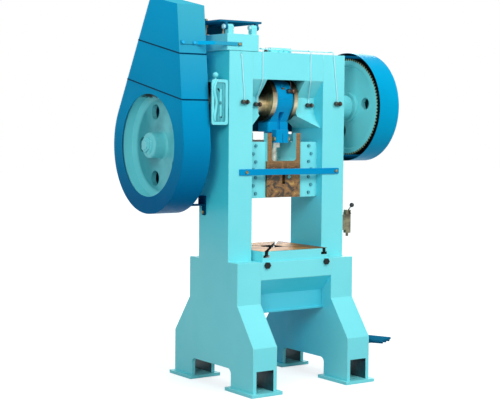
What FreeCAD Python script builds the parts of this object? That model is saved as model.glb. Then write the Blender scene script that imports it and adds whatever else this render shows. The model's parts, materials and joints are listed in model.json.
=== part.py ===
"""Geared straight-sided stamping press, in millimetres.

X runs across the press (left upright at -X), Y from front to back, Z up.
The origin lies on the floor, midway between the uprights and at their mid-depth,
which is also the centre of the anchor bolt pattern.
"""
import FreeCAD, Part
import math
import os

V = FreeCAD.Vector
parts = {}

# ---------------------------------------------------------------- frame sizes
frame_width = 900.0            # over both uprights
crank_height = 1752.0
throw = 40.0
upright_width = 175.0
pillar_depth = 330.0
window_rise = 158.0            # crank centre up to the crown's underside
crown_depth = 170.0
base_top = 785.0
base_depth = 540.0             # pedestal below the bed, front to back
foot_depth = 890.0             # pedestal at the floor, front to back
upper_kink = 527.0
lower_kink = 290.0
pad_thickness = 20.0
pad_overhang = 28.0
arch_front = 206.0             # side arch, from the centre to the front foot
arch_rear = 240.0
arch_top = 133.0
arch_radius = 34.0
foot_wall = 25.0               # side walls of the tunnel through each foot
tunnel_top = 150.0
tunnel_radius = 20.0
anchor_hole_radius = 15.0
anchor_inset = 50.0            # anchor hole centre, in from the foot's face
crown_wall = 30.0
bed_apron_bottom = 675.0
bed_slope_bottom = 574.0
bed_panel_depth = 176.0        # recessed apron panel, from the centre
bed_bottom = 456.0
bed_lip = 14.0
bed_lip_height = 12.0
bed_wall = 28.0
bed_plate = 45.0
drop_hole_radius = 70.0

# ---------------------------------------------------------------- bolster
bolster_gap = 19.0             # bolster to each upright
bolster_depth = 516.0
bolster_thickness = 65.0
slot_neck = 20.0
slot_depth = 40.0
slot_foot = 36.0
slot_foot_height = 16.0
slot_mouth_inset = 30.0        # each slot leaves the front or rear face this far from the side
bed_bolt_radius = 12.0
bed_bolt_inset = 45.0          # from the upright's inner face
bed_bolt_drop = 20.0

# ---------------------------------------------------------------- crank train
journal_radius = 45.0
running_clearance = 0.05
bush_wall = 9.0
boss_half_depth = 71.0         # flared housing at the crank's height
boss_half_height = 52.0
boss_low_depth = 143.0
boss_low_drop = 141.0          # crank centre down to the housing's foot
boss_ramp_rise = 75.0
left_collar = 65.0             # crank web to the housing's inner end
right_collar = 35.0
web_radius = 140.0
left_web = 33.0
right_web = 28.0
pin_radius = 60.0
pin_half = 67.0
collar_radius = 62.0
end_play = 0.5
end_plate_radius = 70.0
end_plate_thickness = 14.0
end_disc_thickness = 8.0
rod_half_width = 66.0
rod_eye_radius = 125.0
rod_bush_wall = 8.0
shoulder_half_width = 79.0
shoulder_half_depth = 60.0
shoulder_drop = 207.0          # crank pin down to the shoulder's underside
shoulder_height = 64.0
rod_neck_radius = 58.0
rod_length = 422.0             # crank pin down to the ball's centre
neck_height = 69.0
lug_reach = 108.0              # clamp lugs stand this far in front of the rod's centre line
lug_half_width = 50.0
split_width = 4.0
screw_radius = 30.0
ball_radius = 38.0
thread_clearance = 0.4
lock_nut_radius = 50.0
lock_nut_height = 30.0
clamp_bolt_radius = 8.0
clamp_bolt_inset = 20.0        # behind the lugs' ends
clamp_bolt_rise = 24.0         # above the rod's lower end
cap_bolt_radius = 9.0
cap_bolt_inset = 27.0          # inside the eye's radius
cap_seat_rise = 60.0
cap_bolt_grip = 58.0
rod_fitting_rise = 50.0
rod_fitting_radius = 9.0
rod_fitting_x = 44.0
rod_pipe_rise = 110.0

# ---------------------------------------------------------------- ram and guides
ram_half_width = 130.0
ram_half_depth = 122.0
ram_base_height = 230.0        # below and above the bottom of the U cut
prong_height = 176.0
u_half_width = 96.0
u_radius = 22.0
prong_depth = 37.0
tongue_gap = 75.0              # upright's inner face to the tongue
tongue_half_depth = 70.7
guide_clearance = 0.3
guide_height = 352.0
guide_drop = 2.0               # guides reach this far below the ram
gib_thickness = 35.0
ball_clearance = 2.0
ball_sink = 12.0               # ball centre below the cover plate
cover_thickness = 20.0
cover_half_width = 74.0
cover_bolt_x = 58.0
cover_bolt_y = 103.0
cover_bolt_radius = 5.0
cover_head_radius = 8.0
cover_head = 9.0
shank_hole_radius = 25.0
shank_hole_depth = 60.0
knock_slot_half_width = 11.0
knock_slot_rise = 84.0
knock_slot_height = 60.0
ram_screw_x = 47.0
ram_screw_rise = 128.0         # above the ram's underside
stroke_spare = 4.0

# ---------------------------------------------------------------- gears and back shaft
gear_module = 7.0
gear_teeth = 90
pinion_teeth = 17
pressure_angle = 20.0
tooth_backlash = 0.35
shaft_angle = 43.4             # back shaft below and behind the crank, degrees
gear_face = 92.0
gear_gap = 154.0               # right upright to the gear
gear_rim = 26.0
gear_web = 34.0
gear_web_setback = 20.0
gear_hub_radius = 96.0
gear_hub_step = 62.0
gear_hole_radius = 40.0
gear_hole_circle = 168.0
gear_hole_count = 3
gear_bush_wall = 12.0
back_shaft_radius = 40.0
back_bush_wall = 8.0
back_block_radius = 75.0
back_block_width = 140.0
back_flange_height = 260.0
back_flange_thickness = 26.0
back_boss_inset = 20.0         # bearing boss in from the flange's ends
back_bolt_inset = 25.0         # bolts in from the flange's edges
pinion_extra = 6.0

# ---------------------------------------------------------------- flywheel
flywheel_radius = 395.0
flywheel_gap = 23.0            # guard's inner plate to the rim
flywheel_width = 150.0
rim_depth = 59.0
rim_slope = 46.0
flywheel_web_setback = 78.0
flywheel_web = 35.0
flywheel_hub_radius = 81.0
hub_proud = 16.0               # beyond the rim's outer face
hub_gap = 15.0                 # hub to the guard's inner plate
flywheel_hole_radius = 48.0
flywheel_hole_inset = 70.0     # hole circle inside the web's outer radius
flywheel_hole_count = 5
flywheel_nut_radius = 46.0
flywheel_nut_height = 22.0
stub_radius = 28.0             # back shaft's end under the nut

# ---------------------------------------------------------------- guards
sheet = 3.0
belt_guard_gap = 20.0          # beyond the rim's outer face
brake_to_guard = 9.0
belt_guard_room = 33.0         # round the rim
belt_guard_reach = 905.0       # flywheel centre to the flat top
belt_guard_top_half = 160.0
belt_guard_lean = 12.0
guard_window_step = 15.0       # window smaller than the rim's bore
guard_seam_high = 622.0
guard_seam_low = 358.0
seam_width = 7.0
seam_proud = 2.0
gear_guard_room = 35.0         # round the teeth
gear_guard_near = 12.0         # beyond the gear on the frame side
gear_guard_far = 56.0          # beyond the gear on the closed side
pinion_guard_radius = 100.0
bracket_angle = 22.0
guard_bracket_inset = 83.0     # lower channel above the guard's lowest point
guard_bracket_over = 87.0      # upper channel above the guard's round part
guard_bracket_front = 84.0
guard_bolt_insets = (20.0, 61.0)       # behind the brackets' front faces
guard_bracket_half = 30.0      # half the channels' height
guard_tab_width = 38.0         # lower channel's tab down the upright's side
guard_tab_drop = 90.0
guard_tab_bolt = 72.0
bracket_wall = 8.0
strap_rise = 38.0              # strap above the crown's top
strap_half = 11.0
strap_thickness = 6.0
strap_end_inset = 10.0         # strap's outer end, in from the guard's outer face
strap_bolt_insets = (23.0, 103.0)
strap_bend_outer = 65.0        # bends of the joggle, outside and inside the guard's inner plate
strap_bend_inner = 15.0
strap_on_block = 104.0         # strap's length along the motor block
strap_bolt_on_block = 85.0
rear_cover_offset = 36.0
rear_cover_drop = 167.0
rear_cover_overlap = 12.0

# ---------------------------------------------------------------- motor seat
block_past_frame = 20.0
block_width = 232.0
block_height = 100.0
block_proud = 6.0
plate_past_left = 46.0         # plate's ends beyond the block
plate_past_right = 33.0
plate_back = 190.0
plate_front = 158.0
plate_thickness = 12.0
hinge_rise = 42.0              # above the block
plate_rise = 40.0              # plate's top above the hinge
hinge_y = -148.0
hinge_pin_radius = 9.0
lug_width = 38.0
left_lug_inset = 29.0
right_lug_inset = 30.0
motor_hole_radius = 6.0
motor_hole_x = 178.0
motor_hole_y = 216.0
plate_rib = 56.0               # stiffening rib down from the plate's rear edge
plate_rib_width = 14.0
stud_radius = 8.0
stud_y = 150.0
left_stud_inset = 50.0         # studs, in from the block's sides
right_stud_inset = 52.0
stud_proud = 28.0

# ---------------------------------------------------------------- fasteners and oil lines
bolt_radius = 6.0
hole_clearance = 0.4
nut_radius = 15.0              # nuts and heads of the 16 mm threads, over their corners
nut_height = 12.0
bar_height = 38.0
bar_thickness = 8.0
bar_rise = 164.0               # above the ram's underside
bar_left_inset = 77.0          # bar's ends, in from the frame's sides
bar_right_inset = 45.0
bar_left_bolt = 52.0           # bolts, in from the bar's ends
bar_right_bolt = 24.0
gib_bolt_rows = 7
gib_bolt_edge = 29.0
gib_bolt_pitch = 49.7
gib_bolt_insets = (67.0, 48.0)         # the rows stand by turns this far from the upright
pipe_radius = 4.0
pipe_gap = 0.2
fitting_radius = 13.0
fitting_height = 16.0
fitting_rise = 16.0            # above the crank's height
fitting_insets = (108.0, 64.0)         # from the frame's sides, left and right
pipe_start_insets = (86.0, 98.0)       # where the two outer pipes start down the uprights
housing_fitting_rise = 4.0
housing_fitting_insets = (93.0, 49.0)  # from the uprights' inner faces
housing_pipe_insets = (71.0, 105.0)    # where the two inner pipes come down the crown
pipe_hole_drop = 16.0          # hole for the left pipe, below the upright's top
distributor_y0 = -80.0
distributor_y1 = -44.0
row_near = -105.0              # pipes along the crown's top, counted from its middle
row_far = -122.0
pipe_bend = 20.0

# ---------------------------------------------------------------- trip gear and brake
clutch_radius = 78.0
clutch_gap = 28.0              # right upright to the sleeve
clutch_to_gear = 14.0
drum_radius = 95.0
drum_gap = 36.0                # left upright to the drum
drum_width = 66.0
drum_rim = 14.0
drum_recess = 40.0             # hub face in from the drum's open end
drum_hub_radius = 68.0
lining = 6.0
band = 4.0
brake_gap = 0.3
band_half = 24.0
band_split = 10.0              # each half band ends this far above or below the crank's height
band_lug = 10.0
band_lug_reach = 20.0
band_lug_hole = 11.0
brake_pin_radius = 6.0
brake_ball_radius = 18.0
brake_ball_rise = 176.0
housing_past_drum = 14.0
housing_plate_proud = 14.0     # front plate beyond the housing's open end
housing_front = 172.0
housing_rear = 165.0
housing_wall = 12.0
housing_low = 126.0            # below and above the crank's height
housing_high = 148.0
housing_rim = 18.0             # raised rim round the front plate
housing_recess = 6.0
plate_lip = 3.0
housing_foot = 16.0            # base plate against the upright
pedal_pivot_y = 110.0
pedal_pivot_z = 300.0
pedal_pin_radius = 10.0
pedal_hole_clearance = 0.08
trip_arm = 100.0
pedal_gap = 12.0               # right upright to the pedal's arm
pedal_arm_width = 16.0
trip_rod_gap = 42.0
bracket_half = 45.0            # pedal bracket's plate
lever_bracket_half = 40.0
bracket_thickness = 8.0
pad_past_frame = 118.0         # pad's centre
pad_inset = 82.0               # pad's centre behind the feet's front
pad_drop = 54.0                # below the pivot
pad_length = 170.0
pad_width = 150.0
pad_turn = 25.0                # the pad is turned outwards, towards the operator
tread_thickness = 12.0
pump_past_frame = 58.0
pump_inset = 25.0              # behind the upright's front face
pump_rise = 142.0              # above the bed's height
pump_height = 151.0
pump_radius = 24.0
pump_fork_depth = 14.0         # lever's pin below the pump's top
lever_length = 60.0
lever_pin_radius = 5.0
knob_radius = 15.0
trip_rod_radius = 8.0
trip_lever_drop = 152.0        # below the crank's height
finger_rise = 100.0            # finger up beside the clutch sleeve
finger_reach = 44.0
finger_width = 24.0
tooth_height = 16.0
eye_clearance = 1.5

# ---------------------------------------------------------------- places worked out from the sizes
half_width = frame_width / 2
inner_face = half_width - upright_width
half_pillar = pillar_depth / 2
half_base = base_depth / 2
half_foot = foot_depth / 2
pin_height = crank_height + throw
boss_left_end = pin_half + left_web + left_collar
boss_right_end = pin_half + right_web + right_collar
bush_radius = journal_radius + bush_wall
gear_pitch_radius = gear_module * gear_teeth / 2
pinion_pitch_radius = gear_module * pinion_teeth / 2
gear_centres = gear_pitch_radius + pinion_pitch_radius
back_y = gear_centres * math.cos(math.radians(shaft_angle))
back_z = crank_height - gear_centres * math.sin(math.radians(shaft_angle))
bolster_top = base_top + bolster_thickness
bolster_width = 2 * (inner_face - bolster_gap)
slot_mouth_x = bolster_width / 2 - slot_mouth_inset
crown_bottom = crank_height + window_rise
frame_top = crown_bottom + crown_depth
block_top = frame_top + block_height
block_left = half_width + block_past_frame
block_right = block_left - block_width
hinge_height = block_top + hinge_rise
left_lug_x = -(block_left - left_lug_inset)
right_lug_x = -(block_right + right_lug_inset)
plate_left = block_left + plate_past_left
plate_right = block_right - plate_past_right
plate_top = hinge_height + plate_rise
stud_top = plate_top + stud_proud
shoulder_bottom = pin_height - shoulder_drop
rod_bottom = shoulder_bottom - neck_height
stroke = 2 * throw
ball_height = pin_height - rod_length
cover_bottom = ball_height + ball_sink
ram_floor = cover_bottom + cover_thickness
ram_bottom = ram_floor - ram_base_height
ram_top = ram_floor + prong_height
tongue_reach = inner_face - tongue_gap
guide_bottom = ram_bottom - guide_drop
guide_top = guide_bottom + guide_height
knock_slot_bottom = ram_bottom + knock_slot_rise
knock_slot_top = knock_slot_bottom + knock_slot_height
bar_middle = ram_bottom + bar_rise
bar_left = half_width - bar_left_inset
bar_right = half_width - bar_right_inset
gib_bolt_first = guide_bottom + gib_bolt_edge
pocket_floor = ball_height - ball_radius - stroke - stroke_spare
pocket_half_width = ball_radius + ball_clearance
pocket_half_depth = pocket_half_width + throw
gear_left = half_width + gear_gap
gear_right = gear_left + gear_face
clutch_left = half_width + clutch_gap
clutch_right = gear_left - clutch_to_gear
gear_guard_radius = gear_pitch_radius + gear_module + gear_guard_room
gear_guard_left = gear_left - gear_guard_near
gear_guard_right = gear_right + gear_guard_far
drum_right = half_width + drum_gap
drum_left = drum_right + drum_width
housing_left = drum_left + housing_past_drum
housing_plate_left = housing_left + housing_plate_proud
belt_guard_inner = housing_left + brake_to_guard
flywheel_left = belt_guard_inner + flywheel_gap + flywheel_width
flywheel_hub_left = flywheel_left + hub_proud
flywheel_hub_right = belt_guard_inner + hub_gap
belt_guard_outer = flywheel_left + belt_guard_gap
belt_guard_radius = flywheel_radius + belt_guard_room
rim_inner_radius = flywheel_radius - rim_depth
web_outer_radius = rim_inner_radius - rim_slope
flywheel_hole_circle = web_outer_radius - flywheel_hole_inset
guard_window_radius = rim_inner_radius - guard_window_step
guard_bracket_heights = (back_z - belt_guard_radius + guard_bracket_inset,
                         back_z + belt_guard_radius + guard_bracket_over)
rear_cover_bottom = crank_height - rear_cover_drop
fitting_z = crank_height + fitting_rise
housing_fitting_z = crank_height + housing_fitting_rise
fitting_xs = (fitting_insets[0] - half_width, half_width - fitting_insets[1])
pipe_start_xs = (pipe_start_insets[0] - half_width, half_width - pipe_start_insets[1])
housing_fitting_xs = (housing_fitting_insets[0] - inner_face, inner_face - housing_fitting_insets[1])
housing_pipe_xs = (housing_pipe_insets[0] - inner_face, inner_face - housing_pipe_insets[1])
trip_lever_z = crank_height - trip_lever_drop
crank_left_end = drum_left + 6
crank_right_end = gear_right + end_plate_thickness


# ---------------------------------------------------------------- shape helpers
def block(x0, x1, y0, y1, z0, z1):
    return Part.makeBox(x1 - x0, y1 - y0, z1 - z0, V(x0, y0, z0))


def round_x(radius, x0, x1, y, z):
    return Part.makeCylinder(radius, x1 - x0, V(x0, y, z), V(1, 0, 0))


def round_y(radius, y0, y1, x, z):
    return Part.makeCylinder(radius, y1 - y0, V(x, y0, z), V(0, 1, 0))


def round_z(radius, z0, z1, x, y):
    return Part.makeCylinder(radius, z1 - z0, V(x, y, z0), V(0, 0, 1))


def in_yz(a, b):
    return V(0, a, b)


def in_xz(a, b):
    return V(a, 0, b)


def in_xy(a, b):
    return V(a, b, 0)


def outline(corners, plane):
    """Face through corners (a, b) or (a, b, radius), with tangent arcs where a radius is given."""
    flat = [V(c[0], c[1], 0) for c in corners]
    count = len(flat)
    starts = []
    ends = []
    middles = []
    for i, corner in enumerate(corners):
        here = flat[i]
        radius = corner[2] if len(corner) > 2 else 0.0
        if not radius:
            starts.append(here)
            ends.append(here)
            middles.append(None)
            continue
        back = (flat[i - 1] - here).normalize()
        ahead = (flat[(i + 1) % count] - here).normalize()
        half = back.getAngle(ahead) / 2
        reach = radius / math.tan(half)
        starts.append(here + back * reach)
        ends.append(here + ahead * reach)
        inward = (back + ahead).normalize()
        middles.append(here + inward * (radius / math.sin(half) - radius))
    edges = []
    for i in range(count):
        if middles[i]:
            arc = [plane(p.x, p.y) for p in (starts[i], middles[i], ends[i])]
            edges.append(Part.Arc(*arc).toShape())
        line_start = ends[i]
        line_end = starts[(i + 1) % count]
        if (line_end - line_start).Length > 1e-6:
            edges.append(Part.LineSegment(plane(line_start.x, line_start.y),
                                          plane(line_end.x, line_end.y)).toShape())
    return Part.Face(Part.Wire(edges))


def prism_x(corners, x0, x1):
    solid = outline(corners, in_yz).extrude(V(x1 - x0, 0, 0))
    solid.translate(V(x0, 0, 0))
    return solid


def prism_y(corners, y0, y1):
    solid = outline(corners, in_xz).extrude(V(0, y1 - y0, 0))
    solid.translate(V(0, y0, 0))
    return solid


def prism_z(corners, z0, z1):
    solid = outline(corners, in_xy).extrude(V(0, 0, z1 - z0))
    solid.translate(V(0, 0, z0))
    return solid


def rectangle(a0, a1, b0, b1, radius=0.0):
    return [(a0, b0, radius), (a1, b0, radius), (a1, b1, radius), (a0, b1, radius)]


def turned_x(profile, y, z):
    """Solid of revolution about an axis along X; the profile holds (x, radius) corners."""
    face = outline(profile, in_xz)
    solid = face.revolve(V(0, 0, 0), V(1, 0, 0), 360)
    solid.translate(V(0, y, z))
    return solid


def hexagon(radius, height, place, direction):
    """Hexagonal prism, radius over its corners."""
    corners = [V(radius * math.cos(math.radians(60 * k)), radius * math.sin(math.radians(60 * k)),
                 0) for k in range(7)]
    solid = Part.Face(Part.makePolygon(corners)).extrude(V(0, 0, height))
    solid.Placement = FreeCAD.Placement(place, FreeCAD.Rotation(V(0, 0, 1), direction))
    return solid


def bolt(place, direction, length, radius=bolt_radius):
    """Hexagon bolt: the head stands on the surface at place, the shank goes in against direction."""
    head = hexagon(radius * 1.75, radius * 1.3, place, direction)
    shank = Part.makeCylinder(radius, length, place, direction * -1)
    return head.fuse(shank)


def bolt_hole(place, direction, length, radius=bolt_radius):
    return Part.makeCylinder(radius + hole_clearance, length + 1, place, direction * -1)


def cut(solid, *tools):
    """Take each tool away from the solid."""
    for tool in tools:
        solid = solid.cut(tool)
    return solid


def fuse(*solids):
    """Join the solids into one."""
    whole = solids[0]
    for other in solids[1:]:
        whole = whole.fuse(other)
    return whole.removeSplitter()


def tangent_point(point, radius, side):
    """Where a line from the point (a, b) touches a circle about the origin, on the side +1 or -1."""
    distance = math.hypot(point[0], point[1])
    angle = math.atan2(point[1], point[0]) - side * math.acos(radius / distance)
    return radius * math.cos(angle), radius * math.sin(angle)


def two_circle_prism(first, first_radius, second, second_radius, x0, x1):
    """Prism along X whose outline is a belt round two circles, each centre given as (y, z)."""
    dy = second[0] - first[0]
    dz = second[1] - first[1]
    distance = math.hypot(dy, dz)
    heading = math.atan2(dz, dy)
    spread = math.acos((first_radius - second_radius) / distance)

    def on(centre, radius, angle):
        return V(x0, centre[0] + radius * math.cos(angle), centre[1] + radius * math.sin(angle))

    up = heading + spread
    down = heading - spread
    edges = [
        Part.Arc(on(first, first_radius, up), on(first, first_radius, heading + math.pi),
                 on(first, first_radius, down)).toShape(),
        Part.LineSegment(on(first, first_radius, down), on(second, second_radius, down)).toShape(),
        Part.Arc(on(second, second_radius, down), on(second, second_radius, heading),
                 on(second, second_radius, up)).toShape(),
        Part.LineSegment(on(second, second_radius, up), on(first, first_radius, up)).toShape(),
    ]
    return Part.Face(Part.Wire(edges)).extrude(V(x1 - x0, 0, 0))


def ring_places(count, circle, y, z, first=0.0):
    """Centres (y, z) of a round pattern, counted from the +Y direction."""
    places = []
    for k in range(count):
        angle = math.radians(first + 360.0 * k / count)
        places.append((y + circle * math.cos(angle), z + circle * math.sin(angle)))
    return places


# ---------------------------------------------------------------- frame
bed_bolt_x = inner_face - bed_bolt_inset
bar_bolts = [(-(bar_left - bar_left_bolt), bar_middle), (bar_right - bar_right_bolt, bar_middle)]


def upright_outline():
    return [
        (-half_foot, pad_thickness), (-half_foot, lower_kink), (-half_base, upper_kink),
        (-half_base, base_top),
        (-half_pillar, base_top), (-half_pillar, frame_top), (half_pillar, frame_top),
        (half_pillar, base_top),
        (half_base, base_top), (half_base, upper_kink), (half_foot, lower_kink),
        (half_foot, pad_thickness),
        (arch_rear, pad_thickness), (arch_rear, arch_top, arch_radius),
        (-arch_front, arch_top, arch_radius),
        (-arch_front, pad_thickness),
    ]


def back_bracket_bolts(side):
    middle = side * (half_width - upright_width / 2)
    places = []
    dx = back_block_width / 2 - back_bolt_inset
    dz = back_flange_height / 2 - back_bolt_inset
    for x in (middle - dx, middle + dx):
        for z in (back_z - dz, back_z + dz):
            places.append(V(x, half_pillar + back_flange_thickness, z))
    return places


def guard_foot_bolt_places():
    """On the left upright's side: one bolt in the lower bracket's tab, one in the upper channel."""
    x = -half_width - bracket_wall
    return [V(x, guard_bracket_front + guard_tab_width / 2, guard_bracket_heights[0] - guard_tab_bolt),
            V(x, guard_bracket_front + guard_tab_width, guard_bracket_heights[1])]


def upright(side):
    x0 = min(side * inner_face, side * half_width)
    solid = prism_x(upright_outline(), x0, x0 + upright_width)
    tunnel = rectangle(x0 + foot_wall, x0 + upright_width - foot_wall, 0, tunnel_top)
    tunnel[2] = (tunnel[2][0], tunnel[2][1], tunnel_radius)
    tunnel[3] = (tunnel[3][0], tunnel[3][1], tunnel_radius)
    solid = cut(solid, prism_y(tunnel, -half_foot - 1, half_foot + 1))
    solid = cut(solid, round_x(bush_radius, x0 - 1, x0 + upright_width + 1, 0, crank_height))
    for place in back_bracket_bolts(side):
        solid = cut(solid, bolt_hole(place, V(0, 1, 0), 60))
    for x, z in bar_bolts:
        solid = cut(solid, bolt_hole(V(x, -half_pillar, z), V(0, -1, 0), 25))
    if side < 0:
        for place in guard_foot_bolt_places():
            solid = cut(solid, bolt_hole(place, V(-1, 0, 0), 31))
        reach = pipe_radius + hole_clearance
        x = pipe_start_xs[0]
        top = frame_top - pipe_hole_drop
        solid = cut(solid, block(x - reach, x + reach, -half_pillar - 1, -half_pillar + 26,
                                 top - pipe_bend, top + reach))
    return solid


def foot_pads():
    pads = []
    spans = [(-half_foot - pad_overhang, -arch_front + pad_overhang),
             (arch_rear - pad_overhang, half_foot + pad_overhang)]
    for side in (-1, 1):
        x0 = min(side * inner_face, side * half_width) - pad_overhang
        x1 = x0 + upright_width + 2 * pad_overhang
        middle = side * (half_width - upright_width / 2)
        for y0, y1 in spans:
            pad = prism_z(rectangle(x0, x1, y0, y1, 6.0), 0, pad_thickness)
            end = -1 if y0 < 0 else 1
            pads.append(cut(pad, round_z(anchor_hole_radius, -1, pad_thickness + 1, middle,
                                         end * (half_foot - anchor_inset))))
    return Part.makeCompound(pads)


def bed_beam():
    front = [
        (-half_base, base_top), (-half_base, bed_apron_bottom), (-bed_panel_depth, bed_slope_bottom),
        (-bed_panel_depth, bed_bottom + bed_lip_height),
        (-bed_panel_depth - bed_lip, bed_bottom + bed_lip_height),
        (-bed_panel_depth - bed_lip, bed_bottom), (-bed_panel_depth + bed_wall, bed_bottom),
        (-bed_panel_depth + bed_wall, bed_slope_bottom + bed_wall / 2),
        (-half_base + bed_wall, bed_apron_bottom + bed_wall / 2),
        (-half_base + bed_wall, base_top - bed_plate),
    ]
    back = [(-y, z) for y, z in reversed(front)]
    beam = prism_x(front + back, -inner_face, inner_face)
    beam = cut(beam, round_z(drop_hole_radius, base_top - bed_plate - 1, base_top + 1, 0, 0))
    for place in bed_bolt_places():
        beam = cut(beam, bolt_hole(place, V(0, -1, 0), 20, bed_bolt_radius))
    return beam


def bed_bolt_places():
    return [V(x, -half_base, base_top - bed_bolt_drop) for x in (-bed_bolt_x, bed_bolt_x)]


def crown_beam():
    beam = block(-inner_face, inner_face, -half_pillar, half_pillar, crown_bottom, frame_top)
    hollow = block(-inner_face - 1, inner_face + 1, -half_pillar + crown_wall, half_pillar - crown_wall,
                   crown_bottom - 1, frame_top - crown_wall)
    return cut(beam, hollow)


def bearing_housing(side, inner_end):
    """Flared bearing housing: narrow round the shaft, spreading up into the crown and down the upright."""
    low = crank_height - boss_low_drop
    top = crown_bottom
    half = [(-half_pillar, top), (-boss_half_depth, crank_height + boss_half_height),
            (-boss_half_depth, crank_height - boss_half_height), (-boss_low_depth, low)]
    section = half + [(-y, z) for y, z in reversed(half)]
    x0 = min(side * inner_face, side * inner_end)
    x1 = max(side * inner_face, side * inner_end)
    solid = prism_x(section, x0, x1)
    ramp = [(side * inner_face, low - 1), (side * (inner_face - 1), low - 1),
            (side * (inner_end - 1), low + boss_ramp_rise), (side * (inner_end - 1), low - 1)]
    ramp = prism_y(ramp[1:], -half_pillar - 1, half_pillar + 1)
    bore = round_x(bush_radius, x0 - 1, x1 + 1, 0, crank_height)
    return cut(solid, ramp, bore)


def bearing_bush(x0, x1):
    outer = round_x(bush_radius, x0, x1, 0, crank_height)
    inner = round_x(journal_radius + running_clearance, x0 - 1, x1 + 1, 0, crank_height)
    return cut(outer, inner)


def rear_cover():
    """Folded sheet cover behind the crank, between the uprights."""
    x1 = inner_face + rear_cover_overlap
    y0 = half_pillar
    y1 = half_pillar + rear_cover_offset
    top = crown_bottom + 24
    shell = block(-x1, x1, y0, y1, rear_cover_bottom, top)
    inside = block(-x1 + sheet, x1 - sheet, y0 - 1, y1 - sheet, rear_cover_bottom - 1, top - sheet)
    return cut(shell, inside)


parts["left_upright"] = upright(-1)
parts["right_upright"] = upright(1)
parts["foot_pads"] = foot_pads()
parts["bed_beam"] = bed_beam()
parts["crown_beam"] = crown_beam()
parts["left_bearing_housing"] = bearing_housing(-1, boss_left_end)
parts["right_bearing_housing"] = bearing_housing(1, boss_right_end)
parts["bearing_bushes"] = Part.makeCompound([
    bearing_bush(-half_width, -boss_left_end), bearing_bush(boss_right_end, half_width)])
parts["rear_crank_cover"] = rear_cover()


# ---------------------------------------------------------------- bolster
def bolster_plate():
    plate = block(-bolster_width / 2, bolster_width / 2, -bolster_depth / 2, bolster_depth / 2, base_top,
                  bolster_top)
    plate = plate.makeChamfer(3.0, [e for e in plate.Edges if e.CenterOfMass.z > bolster_top - 1])
    section = [
        (-slot_neck / 2, bolster_top + 1), (-slot_neck / 2, bolster_top - slot_depth + slot_foot_height),
        (-slot_foot / 2, bolster_top - slot_depth + slot_foot_height),
        (-slot_foot / 2, bolster_top - slot_depth),
        (slot_foot / 2, bolster_top - slot_depth),
        (slot_foot / 2, bolster_top - slot_depth + slot_foot_height),
        (slot_neck / 2, bolster_top - slot_depth + slot_foot_height), (slot_neck / 2, bolster_top + 1),
    ]
    slot = prism_x(section, 0, bolster_width)
    angle = math.degrees(math.atan2(bolster_depth / 2, slot_mouth_x))
    for turn in (angle, 180 - angle, 180 + angle, 360 - angle):
        turned = slot.copy()
        turned.rotate(V(0, 0, 0), V(0, 0, 1), turn)
        plate = cut(plate, turned)
    return cut(plate, round_z(drop_hole_radius, base_top - 1, bolster_top + 1, 0, 0))


def bed_bolts():
    """Hold-down bolts just under the bolster."""
    return [bolt(place, V(0, -1, 0), 20, bed_bolt_radius) for place in bed_bolt_places()]


parts["bolster_plate"] = bolster_plate()


# ---------------------------------------------------------------- guides and gibs
guide_inner = tongue_reach + guide_clearance
gib_inner = ram_half_width + guide_clearance
gib_face = tongue_half_depth + guide_clearance
gib_bolt_length = gib_thickness + 30


def gib_bolt_places(side, end):
    places = []
    for row in range(gib_bolt_rows):
        across = inner_face - gib_bolt_insets[row % 2]
        places.append(V(side * across, end * (gib_face + gib_thickness),
                        gib_bolt_first + row * gib_bolt_pitch))
    return places


def guide_block(side):
    x0 = min(side * guide_inner, side * inner_face)
    solid = block(x0, x0 + inner_face - guide_inner, -gib_face, gib_face, guide_bottom, guide_top)
    for end in (-1, 1):
        for place in gib_bolt_places(side, end):
            solid = cut(solid, bolt_hole(place, V(0, end, 0), gib_bolt_length))
    return solid


def gib(side, end):
    x0 = min(side * gib_inner, side * inner_face)
    width = inner_face - gib_inner
    y0 = gib_face if end > 0 else -gib_face - gib_thickness
    corners = rectangle(x0, x0 + width, guide_bottom, guide_top)
    outer = (1, 2) if side > 0 else (0, 3)
    for k in outer:
        corners[k] = (corners[k][0], corners[k][1], 14.0)
    solid = prism_y(corners, y0, y0 + gib_thickness)
    for place in gib_bolt_places(side, end):
        solid = cut(solid, bolt_hole(place, V(0, end, 0), gib_bolt_length))
    return solid


parts["guide_blocks"] = Part.makeCompound([guide_block(-1), guide_block(1)])
parts["gib_plates"] = Part.makeCompound([gib(side, end) for side in (-1, 1) for end in (-1, 1)])
parts["gib_bolts"] = Part.makeCompound([
    bolt(place, V(0, end, 0), gib_bolt_length)
    for side in (-1, 1) for end in (-1, 1) for place in gib_bolt_places(side, end)])


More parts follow.
